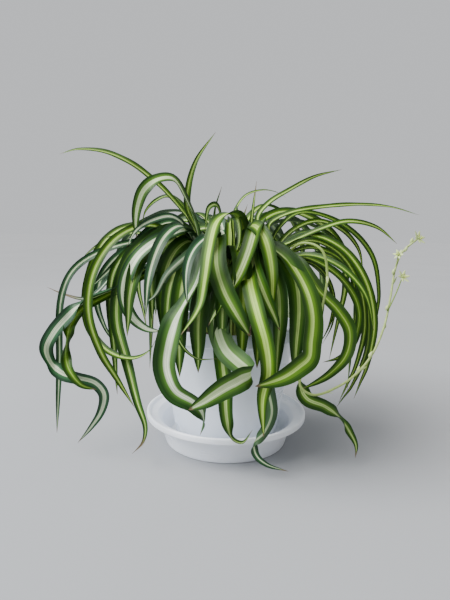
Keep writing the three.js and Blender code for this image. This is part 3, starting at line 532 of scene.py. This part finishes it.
def grain_material():
    """Bark chips and a few white perlite grains, told apart by the grain's own tone."""
    material, tree = new_material("soil_grains")
    _, (tone, _, _) = named_values(tree, "tone")
    place = object_place(tree)
    grain = texture(tree, place, (1500.0, 1500.0, 1500.0), 3.0)
    bark = blend(tree, tone, BARK.dark, BARK.light)
    colour = blend(tree, ramp(tree, tone, 0.9, 0.92), bark, PERLITE)
    colour = blend(tree, ramp(tree, grain, 0.4, 0.7, 0.0, 0.35), colour, BARK.dirt)
    return finished(material, make_skin(tree, colour, 0.9, {"Normal": make_bump(tree, 0.6, 0.0004, grain)}))


def stalk_material():
    """Yellow-green flower stalk, petals and buds, told apart by the parts' own tone."""
    material, tree = new_material("flower_stalk")
    _, (petal, anther, along) = named_values(tree, "tone")
    place = object_place(tree)
    grain = texture(tree, place, (700.0, 700.0, 160.0), 3.0)
    stem = blend(tree, along, STEM.foot, STEM.tip)
    stem = blend(tree, ramp(tree, grain, 0.4, 0.7, 0.0, 0.5), stem, STEM.grain)
    colour = blend(tree, anther, blend(tree, petal, stem, PETAL), ANTHER)
    skin = make_skin(tree, colour, 0.5, {"Normal": make_bump(tree, 0.25, 0.0003, grain)})
    return finished(material, lit_through(tree, 0.2, skin, colour, {}))


def floor_material():
    material, tree = new_material("pale_floor")
    place = object_place(tree)
    cloud = texture(tree, place, (3.0, 3.0, 3.0))
    tint = blend(tree, ramp(tree, cloud, 0.3, 0.7), *FLOOR_TONES)
    return finished(material, make_skin(tree, tint, 0.9, {"Specular IOR Level": 0.0}))


# Mesh helpers
def unit(vector):
    return vector / np.linalg.norm(vector)


def circle(sides):
    """The cosine and sine of so many even steps round."""
    angles = [2 * pi * side / sides for side in range(sides)]
    return [(cos(angle), sin(angle)) for angle in angles]


def spun(angle, axis):
    return Matrix.Rotation(angle, 3, axis).to_quaternion()


def new_object(name, data):
    thing = bpy.data.objects.new(name, data)
    bpy.context.scene.collection.objects.link(thing)
    return thing


class Sculpt:
    """Gathers the corners, faces and corner values of one piece."""

    def __init__(self, *names):
        self.corners = []
        self.faces = []
        self.values = {name: [] for name in names}
        self.flat = []

    def add(self, corners, faces, flat=(), **values):
        first = len(self.corners)
        self.corners.extend(corners)
        self.faces.extend([first + i for i in face] for face in faces)
        self.flat.extend(flat)
        for name, rows in values.items():
            self.values[name].extend(rows if isinstance(rows, list) else [rows] * len(corners))

    def piece(self, name, material, sharp):
        """The mesh object, inside the solids' box and smooth but for edges that turn by more than sharp."""
        mesh = bpy.data.meshes.new(name)
        places = np.clip(np.array(self.corners, float) * MM, *cad_box)
        mesh.from_pydata(places.tolist(), [], self.faces)
        for key, rows in self.values.items():
            attribute = mesh.attributes.new(key, "FLOAT_VECTOR", "POINT")
            attribute.data.foreach_set("vector", np.array(rows, np.float32).ravel())
        if self.flat:
            flat_map = mesh.uv_layers.new(name="OFBake")
            flat_map.uv.foreach_set("vector", np.array(self.flat, np.float32).ravel())
        mesh.polygons.foreach_set("use_smooth", [True] * len(mesh.polygons))
        mesh.set_sharp_from_angle(angle=radians(sharp))
        mesh.materials.append(material)
        return new_object(name, mesh)


def place_piece(piece, slot, *nodes):
    """The piece rides on the part's one body and stands for the nodes, which are hidden. The slot is not
    used.
    """
    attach(piece, BODY)
    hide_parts(*nodes)


def tube_faces(rings, around):
    """The faces of a closed tube of rings, with a cap at each end."""
    faces = []
    for ring in range(rings - 1):
        for j in range(around):
            a = ring * around + j
            b = ring * around + (j + 1) % around
            faces.append((a, b, b + around, a + around))
    faces.append(tuple(reversed(range(around))))
    faces.append(tuple(range((rings - 1) * around, rings * around)))
    return faces


def rounded(profile, radius):
    """A profile with each inner corner replaced by a short curve."""
    cuts = CORNER.cuts
    points = [np.array(point, float) for point in profile]
    result = [points[0]]
    for before, corner, after in zip(points, points[1:], points[2:]):
        sides = before - corner, after - corner
        start, end = [corner + unit(side) * min(radius, np.linalg.norm(side) / 2) for side in sides]
        for cut in range(cuts + 1):
            t = cut / cuts
            result.append(start * (1 - t) ** 2 + corner * 2 * t * (1 - t) + end * t ** 2)
    result.append(points[-1])
    return result


def lathe(profile, sides, lift=None):
    """Turns a profile that starts and ends on the axis round it. lift moves a corner up by its place."""
    corners = [(0.0, 0.0, profile[0][1])]
    for radius, height in profile[1:-1]:
        corners += [(radius * x, radius * y, height) for x, y in circle(sides)]
    corners.append((0.0, 0.0, profile[-1][1]))
    if lift:
        corners = [lift(corner) for corner in corners]
    last = len(corners) - 1
    faces = []
    for side in range(sides):
        after = (side + 1) % sides
        faces.append((0, 1 + after, 1 + side))
        for ring in range(len(profile) - 3):
            a, b = 1 + ring * sides + side, 1 + ring * sides + after
            faces.append((a, b, b + sides, a + sides))
        top = 1 + (len(profile) - 3) * sides
        faces.append((top + side, top + after, last))
    sculpt = Sculpt()
    sculpt.add(corners, faces)
    return sculpt


# Pot, saucer and soil
def pot_radius(z):
    return POT.base + (POT.top - POT.base) * (z - POT_BASE) / POT.height


def make_saucer():
    base, shoulder, bend = SAUCER.base, SAUCER.shoulder, SAUCER.shoulder_height
    lip, underside, height = SAUCER.lip, SAUCER.lip_underside, SAUCER.height
    wall, edge = SAUCER.wall, SAUCER.edge
    inside = lip - SAUCER.lip_width
    profile = [
        (0, 0), (base + edge / 2, 0), (shoulder, bend), (shoulder + SAUCER.notch, underside - edge),
        (lip, underside), (lip, height), (inside, height), (inside - edge, underside + wall + edge),
        (shoulder + wall, underside + edge), (shoulder - wall, bend + edge),
        (base - edge, SAUCER.floor), (0, SAUCER.floor),
    ]
    plastic = plastic_material("saucer_plastic", SAUCER_COLOUR, DUSTY.saucer)
    sculpt = lathe(rounded(profile, CORNER.saucer), ROUND_SIDES)
    place_piece(sculpt.piece("saucer_moulded", plastic, SHARP.moulded), "saucer_plastic", "saucer")


def make_pot():
    rim_foot = POT_TOP - POT.rim_height
    under = POT_BASE + POT.foot_height
    inside = under + POT.floor
    rim = POT.top + POT.rim_proud
    foot_inside = POT.base - POT.foot_width
    profile = [
        (0, under), (foot_inside, under), (foot_inside + POT.edge, POT_BASE), (POT.base, POT_BASE),
        (pot_radius(rim_foot), rim_foot), (rim, rim_foot + POT.edge), (rim, POT_TOP),
        (POT.top - POT.wall, POT_TOP), (pot_radius(inside) - POT.wall, inside), (0, inside),
    ]
    plastic = plastic_material("pot_plastic", POT_COLOUR, DUSTY.pot)
    sculpt = lathe(rounded(profile, CORNER.pot), ROUND_SIDES)
    piece = sculpt.piece("pot_moulded", plastic, SHARP.moulded)
    for x, y in circle(POT.holes):
        cut_drain_hole(piece, POT.hole_circle * x, POT.hole_circle * y, inside)
    place_piece(piece, "pot_plastic", "pot")


def cut_drain_hole(piece, x, y, inside):
    bm = bmesh.new()
    depth = (inside - POT_BASE + DRILL.over) * MM
    middle = Matrix.Translation(Vector((x, y, (inside + POT_BASE) / 2)) * MM)
    radius = POT.hole_radius * MM
    bmesh.ops.create_cone(
        bm, cap_ends=True, segments=DRILL.sides, radius1=radius, radius2=radius, depth=depth, matrix=middle)
    mesh = bpy.data.meshes.new("drill")
    bm.to_mesh(mesh)
    bm.free()
    drill = new_object("drill", mesh)
    cut = piece.modifiers.new("drain", "BOOLEAN")
    cut.operation = "DIFFERENCE"
    cut.object = drill
    cut.solver = "EXACT"
    bpy.context.view_layer.update()
    shape = bpy.data.meshes.new_from_object(piece.evaluated_get(bpy.context.evaluated_depsgraph_get()))
    piece.modifiers.clear()
    piece.data = shape
    bpy.data.objects.remove(drill)


def soil_relief(x, y):
    waves = sin(SOIL.wave_pitch * x) * cos(SOIL.wave_pitch * y)
    bend = sin(SOIL.crumb_bend * y)
    crumbs = sin(SOIL.crumb_pitch * x + bend) * cos(SOIL.crumb_pitch * y)
    return SOIL.relief * (SOIL.wave_share * waves + (1 - SOIL.wave_share) * crumbs)


def soil_height(x, y):
    crumb = SOIL_BED.crumb * noise.noise(Vector((x, y, 0.0)) * SOIL_BED.crumb_pitch)
    bed = SOIL.surface + SOIL.relief * SOIL_BED.rise
    return bed + soil_relief(x, y) * SOIL_BED.relief_share + crumb


def make_soil():
    bottom = POT_BASE + POT.foot_height + POT.floor + GAP
    bottom_radius = pot_radius(bottom) - POT.wall - 3 * GAP
    top_radius = pot_radius(SOIL.surface) - POT.wall - 2 * GAP
    profile = [(0, bottom), (bottom_radius, bottom), (top_radius, SOIL.surface - SOIL_BED.edge_drop)]
    for ring in range(SOIL_BED.rings, -1, -1):
        profile.append(((top_radius - SOIL_BED.edge_width) * ring / SOIL_BED.rings, SOIL.surface))

    def lift(corner):
        x, y, z = corner
        return (x, y, soil_height(x, y)) if z == SOIL.surface else corner

    sculpt = lathe(profile, SOIL_BED.sides, lift)
    place_piece(sculpt.piece("soil_bed", soil_material(), SHARP.soil), "potting_soil", "soil")


def make_grains(rng):
    """Small chips and perlite that lie on the soil, half sunk in it."""
    bm = bmesh.new()
    bmesh.ops.create_icosphere(bm, subdivisions=1, radius=1.0)
    ball = np.array([corner.co[:] for corner in bm.verts])
    faces = [[corner.index for corner in face.verts] for face in bm.faces]
    bm.free()
    reach = pot_radius(SOIL.surface) - POT.wall - GRAINS.margin
    sculpt = Sculpt("tone")
    for _ in range(GRAINS.count):
        radius = reach * sqrt(rng.random())
        angle = rng.uniform(0, 2 * pi)
        x, y = radius * cos(angle), radius * sin(angle)
        white = rng.random() < GRAINS.white_share
        size = rng.uniform(*(GRAINS.white_size if white else GRAINS.chip_size))
        stretch = np.array([1.0, rng.uniform(*GRAINS.width), rng.uniform(*GRAINS.height)]) * size
        jagged = ball * np.array([[1 + rng.uniform(-GRAINS.jag, GRAINS.jag)] for _ in ball]) * stretch
        turn = Matrix.Rotation(rng.uniform(0, GRAINS.turn), 3, "Z")
        turn = turn @ Matrix.Rotation(rng.uniform(-GRAINS.tilt, GRAINS.tilt), 3, "X")
        corners = jagged @ np.array(turn).T + np.array([x, y, soil_height(x, y) + GRAINS.rise * size])
        tone = GRAINS.white_tone if white else rng.uniform(0.0, GRAINS.chip_tone)
        sculpt.add(corners.tolist(), faces, tone=(tone, 0.0, 0.0))
    place_piece(sculpt.piece("soil_grains", grain_material(), SHARP.grain), "potting_soil", "soil")


# Leaves
def arch_path(root, shape):
    """The midrib of an arching leaf, as the solid's: up, over and down in the plane of its heading."""
    heading, lean, top, reach, drop, turn, hang, sweep = shape
    profile = []
    for rise in range(1, 1 + int(90 / ARCH.rise_step)):
        angle = radians(rise * ARCH.rise_step)
        profile.append((lean * (1 - cos(angle)), root[2] + (top - root[2]) * sin(angle)))
    peak = len(profile) - 1
    falls = max(1, floor(turn / ARCH.fall_step + 0.5))
    end = radians(turn)
    for fall in range(1, falls + 1):
        angle = end * fall / falls
        profile.append((lean + (reach - lean) * sin(angle), top - drop * (1 - cos(angle))))
    if hang > 0:
        out, height = profile[-1]
        along = Vector(((reach - lean) * cos(end), -drop * sin(end))).normalized() * hang
        profile += [(out + along.x / 2, height + along.y / 2), (out + along.x, height + along.y)]
    ahead, aside = cos(radians(heading)), sin(radians(heading))
    path = []
    for i, (out, height) in enumerate(profile):
        swing = sweep * ((i + 1) / len(profile)) ** 2
        path.append((root[0] + ahead * out - aside * swing, root[1] + aside * out + ahead * swing, height))
    if aside < ARCH.shown_below:
        shown = min(peak + 2, len(path) - 1)
        path[peak] = (*path[peak], SLANT)
        path[shown] = (*path[shown], FRONT)
    return path


def spline(points, samples):
    """A centripetal Catmull-Rom curve through the points, with so many samples to a span."""
    points = [np.array(point[:3], float) for point in points]
    ends = [2 * points[0] - points[1], *points, 2 * points[-1] - points[-2]]
    places = []
    for k in range(len(points) - 1):
        a, b, c, d = ends[k:k + 4]
        before, span, after = [sqrt(np.linalg.norm(q - p)) for p, q in ((a, b), (b, c), (c, d))]
        start = ((b - a) / before - (c - a) / (before + span) + (c - b) / span) * span
        finish = ((c - b) / span - (d - b) / (span + after) + (d - c) / after) * span
        for sample in range(samples):
            t = sample / samples
            places.append(
                b + start * t + (3 * (c - b) - 2 * start - finish) * t ** 2
                + (2 * (b - c) + start + finish) * t ** 3)
    places.append(points[-1])
    return np.array(places)


def directions(places):
    ahead = np.vstack([places[1:], places[-1:]])
    behind = np.vstack([places[:1], places[:-1]])
    return [unit(step) for step in ahead - behind]


def carried(tangents, first):
    """The first normal, carried along the tangents with no turn of its own."""
    normals = [unit(first - tangents[0] * first.dot(tangents[0]))]
    for tangent in tangents[1:]:
        normals.append(unit(normals[-1] - tangent * normals[-1].dot(tangent)))
    return normals


def eased(stops, at):
    for (start, low), (end, high) in zip(stops, stops[1:]):
        if at < end:
            t = (at - start) / (end - start)
            return low + (high - low) * t * t * (3 - 2 * t)
    return stops[-1][1]


def midrib(path):
    """Places, tangents, normals and lengths along a blade, with the normal turned to the stated facings."""
    places = spline(path, BLADE.samples)
    tangents = directions(places)
    lengths = np.concatenate([[0.0], np.cumsum(np.linalg.norm(np.diff(places, axis=0), axis=1))])
    outward = np.mean([point[:3] for point in path], axis=0) - np.array(path[0][:3], float)
    outward[2] = 0.0
    normals = carried(tangents, np.array(UP) - unit(outward))
    stops = [(0.0, 0.0)]
    for k, point in enumerate(path):
        if len(point) > 3:
            i = k * BLADE.samples
            side = np.cross(tangents[i], normals[i])
            wanted = np.array(point[3])
            angle = atan2(wanted.dot(side), wanted.dot(normals[i]))
            angle -= 2 * pi * round((angle - stops[-1][1]) / (2 * pi))
            stops.append((lengths[i], angle))
    turned = []
    for tangent, normal, length in zip(tangents, normals, lengths):
        angle = eased(stops, length)
        turned.append(normal * cos(angle) + np.cross(tangent, normal) * sin(angle))
    return places, tangents, turned, lengths


def half_width(t, width, fullness):
    if t < BLADE.full_at:
        swell = sin(t / BLADE.full_at * pi / 2) ** BLADE.swell
        return 0.5 * width * (BLADE.base_width + (1 - BLADE.base_width) * swell)
    left = (1 - t) / (1 - BLADE.full_at)
    return 0.5 * width * (1 - (1 - left) ** fullness)


def fold_angle(t):
    opened = min(t / BLADE.fold_end, 1.0)
    return radians(BLADE.base_fold * (1 - opened) + BLADE.tip_fold)


def valley(v):
    """The height of the folded section at v: 0 at the midrib, 1 at the edge, rounded in the middle."""
    return (hypot(v, VALLEY) - VALLEY) / (hypot(1.0, VALLEY) - VALLEY)


def flat_blade(rings, column, columns):
    """The blade's flat map: a strip for each of its sides and a small disc for each end."""
    steps = len(ACROSS)
    flat = []
    for ring in range(rings - 1):
        low, high = [FLAT.foot + (1 - 2 * FLAT.foot) * at / (rings - 1) for at in (ring, ring + 1)]
        for j in range(2 * steps):
            side, step = divmod(j, steps)
            start = 2 * column + side + FLAT.gutter
            left, right = [
                (start + (1 - 2 * FLAT.gutter) * at / steps) / (2 * columns) for at in (step, step + 1)]
            flat += [(left, high), (right, high), (right, low), (left, low)]
    for height in (FLAT.disc, 1 - FLAT.disc):
        for x, y in circle(2 * steps):
            across = (column + 0.5 + FLAT.disc_width * x) / columns
            flat.append((across, height + FLAT.disc_height * FLAT.disc * y))
    return flat


def kept_inside(ring):
    """A ring of corners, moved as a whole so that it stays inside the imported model's box."""
    ring = np.array(ring)
    low, high = np.array(cad_box) / MM
    return ring + np.maximum(0.0, low - ring.min(axis=0)) - np.maximum(0.0, ring.max(axis=0) - high)


def add_blade(sculpt, row, root, rng, column, columns):
    """One leaf, a closed strip of rings along its midrib. Every blade makes the same five random draws."""
    path = row.path or arch_path(root, row.shape)
    places, tangents, normals, lengths = midrib([root, *path])
    whole = lengths[-1]
    spread = rng.uniform(BASE_SPREAD.least, BASE_SPREAD.most)
    outward = np.array(path[-1][:3], float) - np.array(root)
    outward[2] = 0.0
    outward = unit(outward) * spread
    left_phase, right_phase, _ = [rng.uniform(0, 2 * pi) for _ in range(3)]
    seed = rng.uniform(0, 9)
    corners, place, look, ends = [], [], [], []
    stops = list(range(0, len(places), RING_STEP))
    for i in stops:
        t = lengths[i] / whole
        half = max(half_width(t, row.width, row.fullness), LEAST_HALF)
        fold = fold_angle(t)
        side = unit(np.cross(tangents[i], normals[i]))
        near = max(0.0, 1.0 - lengths[i] / BASE_SPREAD.until)
        middle = places[i] + outward * near * near * (3 - 2 * near)
        middle[2] -= BASE_SPREAD.sink * max(0.0, 1.0 - lengths[i] / BASE_SPREAD.sink_until)
        wave = WAVE.height * min(half / WAVE.full_from, 1.0)
        grown = min(half / THICKNESS.full_from, 1.0)
        thick, thin = THICKNESS.midrib * grown, THICKNESS.edge * grown
        ring_top, ring_under = [], []
        for v in ACROSS:
            phase = left_phase if v < 0 else right_phase
            ripple = wave * v * v * sin(2 * pi * lengths[i] / WAVE.length + phase)
            lift = half * sin(fold) * valley(v) + ripple
            corner = middle + side * (half * cos(fold) * v) + normals[i] * lift
            depth = thin + (thick - thin) * (1 - v * v) ** 3
            ring_top.append(corner)
            ring_under.append(corner - normals[i] * depth)
        corners.extend(kept_inside(ring_top + ring_under[::-1]).tolist())
        for v, under in [(v, 0.0) for v in ACROSS] + [(v, 1.0) for v in reversed(ACROSS)]:
            place.append((v - row.shift, lengths[i] / 10.0, seed))
            look.append(row.look)
            ends.append((t, row.dry, under))
    faces = tube_faces(len(stops), 2 * len(ACROSS))
    flat = flat_blade(len(stops), column, columns)
    sculpt.add(corners, [face[::-1] for face in faces], flat, place=place, look=look, ends=ends)


def make_rosette(name, leaves, material, rng):
    sculpt = Sculpt("place", "look", "ends")
    for column, row in enumerate(leaves):
        add_blade(sculpt, row, ROOTS[name], rng, column, len(leaves))
    place_piece(sculpt.piece(f"leaves_{name}", material, SHARP.leaf), "leaf", f"crown_{name}")


# Flower stalk
def add_tube(sculpt, path, first_radius, last_radius, sides, tone):
    """A closed tube along a path. A tone with no third value runs from 0 at the foot to 1 at the tip."""
    places = spline(path, STALK.samples)
    tangents = directions(places)
    normals = carried(tangents, np.array(BACK) if abs(tangents[0][1]) < 0.9 else np.array(UP))
    corners = []
    tones = []
    for i, middle in enumerate(places):
        t = i / (len(places) - 1)
        radius = first_radius + (last_radius - first_radius) * t
        side = np.cross(tangents[i], normals[i])
        for x, y in circle(sides):
            corners.append(tuple(middle + (normals[i] * x + side * y) * radius))
            tones.append((tone[0], tone[1], t if tone[2] is None else tone[2]))
    sculpt.add(corners, tube_faces(len(places), sides), tone=tones)


def spindle(length, girth, sides=8, rings=7, power=1.0):
    """Corners and faces of a closed spindle along +Z that starts at the origin."""
    corners = []
    for ring in range(rings):
        t = ring / (rings - 1)
        radius = max(girth * sin(pi * min(max(t, 0.03), 0.97)) ** power, girth * 0.05)
        corners += [(radius * x, radius * y, length * t) for x, y in circle(sides)]
    return np.array(corners), tube_faces(rings, sides)


def flattened(shape, flatness):
    corners, faces = shape
    return corners * np.array([flatness, 1.0, 1.0]), faces


def put(sculpt, shape, turn, at, tone):
    corners, faces = shape
    placed = corners @ np.array(turn.to_matrix()).T + np.array(at, float)
    sculpt.add(placed.tolist(), faces, tone=tone)


def add_flower(sculpt, at, facing, petal):
    out = Vector(facing).to_track_quat("Z", "Y")
    for i in range(FLOWER.petals):
        turn = out @ spun(2 * pi * i / FLOWER.petals, "Z") @ spun(pi / 2 - FLOWER.cup, "Y")
        shape = flattened(spindle(petal, FLOWER.girth * petal, power=FLOWER.power), FLOWER.flatness)
        put(sculpt, shape, turn, at, TONE.petal)
    for i in range(FLOWER.stamens):
        turn = out @ spun(2 * pi * (i + 0.5) / FLOWER.stamens, "Z") @ spun(FLOWER.stamen_lean, "Y")
        reach = FLOWER.stamen * petal
        put(sculpt, spindle(reach, FLOWER.stamen_girth, 5, 4), turn, at, TONE.petal)
        tip = Vector(at) + turn @ Vector((0, 0, reach * FLOWER.anther_at))
        put(sculpt, spindle(FLOWER.anther_length, FLOWER.anther_girth, 6, 5), turn, tip, TONE.anther)
    put(sculpt, spindle(FLOWER.heart_length, FLOWER.heart_girth, 8, 6), out, at, TONE.heart)


def make_stalk(material, rng):
    foot = (ROOTS["stalk"][0], ROOTS["stalk"][1], STALK.bottom)
    path = [foot, ROOTS["stalk"], *STALK_PATH]
    sculpt = Sculpt("tone")
    add_tube(sculpt, path, STALK.foot_radius, STALK.tip_radius, STALK.sides, TONE.stem)
    shoot_tip = STALK.shoot_radius * STALK.shoot_taper
    add_tube(sculpt, SIDE_SHOOT, STALK.shoot_radius, shoot_tip, STALK.shoot_sides, TONE.shoot)
    short_radii = STALK.short_radius, STALK.short_tip_radius
    add_tube(sculpt, SHORT_SHOOT, *short_radii, STALK.shoot_sides, TONE.short)
    for flower in STAR_FLOWERS:
        add_flower(sculpt, *flower)
    for at, length in BUDS:
        lean = spun(BUD_SHAPE.lean, "Y")
        start = Vector(at) - lean @ Vector((0, 0, length / 2))
        put(sculpt, spindle(length, BUD_SHAPE.girth * length), lean, start, TONE.bud)
    places = spline(path, STALK.samples)
    tangents = directions(places)
    for share in BRACT.at:
        i = int(share * (len(places) - 1))
        along = Vector(tangents[i]).to_track_quat("Z", "Y")
        turn = along @ spun(rng.uniform(0, 2 * pi), "Z") @ spun(BRACT.open, "Y")
        shape = spindle(rng.uniform(*BRACT.length), BRACT.girth, power=BRACT.power)
        put(sculpt, flattened(shape, BRACT.flatness), turn, places[i], TONE.bract)
    place_piece(sculpt.piece("flower_stalk_fine", material, SHARP.leaf), "flower_stem", "flower_stalk")


# Stage
def make_floor():
    mesh = bpy.data.meshes.new("floor")
    far = FLOOR_REACH
    mesh.from_pydata([(-far, -far, 0), (far, -far, 0), (far, far, 0), (-far, far, 0)], [], [(0, 1, 2, 3)])
    mesh.materials.append(floor_material())
    new_object("floor", mesh)


def make_camera():
    """The photograph's camera, tipped down and rolled about the way that it looks."""
    tip = Matrix.Rotation(radians(90 - CAMERA.down), 4, "X")
    roll = Matrix.Rotation(radians(CAMERA.roll), 4, "Z")
    camera = new_object("camera", bpy.data.cameras.new("camera"))
    camera.data.lens = CAMERA.lens
    camera.data.clip_start = CAMERA.nearest * MM
    camera.matrix_world = Matrix.Translation(Vector(CAMERA.place) * MM) @ tip @ roll
    bpy.context.scene.camera = camera


def make_lamp(name, kind, energy, colour, towards):
    lamp = new_object(name, bpy.data.lights.new(name, kind))
    lamp.data.energy = energy
    lamp.data.color = colour
    lamp.rotation_mode = "QUATERNION"
    lamp.rotation_quaternion = Vector(towards).to_track_quat("-Z", "Y")
    return lamp


def make_light():
    """A large soft key, a little gloss light from the window side and an even pale room."""
    key = make_lamp("key", "SUN", KEY.strength, KEY.colour, KEY.towards)
    key.data.angle = radians(KEY.angle)
    towards = Vector(WINDOW.aim) - Vector(WINDOW.place)
    window = make_lamp("window", "AREA", WINDOW.power, WINDOW.colour, towards)
    window.data.shape = "SQUARE"
    window.data.size = WINDOW.size
    window.location = WINDOW.place
    world = bpy.data.worlds.new("studio")
    world.use_nodes = True
    background = world.node_tree.nodes["Background"]
    background.inputs["Color"].default_value = (*ROOM.colour, 1.0)
    background.inputs["Strength"].default_value = ROOM.strength
    bpy.context.scene.world = world


rng = random.Random(SEED)
make_camera()
make_light()
make_floor()
make_saucer()
make_pot()
make_soil()
make_grains(rng)
leaf_look = leaf_material()
for name, leaves in ROSETTES.items():
    make_rosette(name, leaves, leaf_look, rng)
make_stalk(stalk_material(), rng)
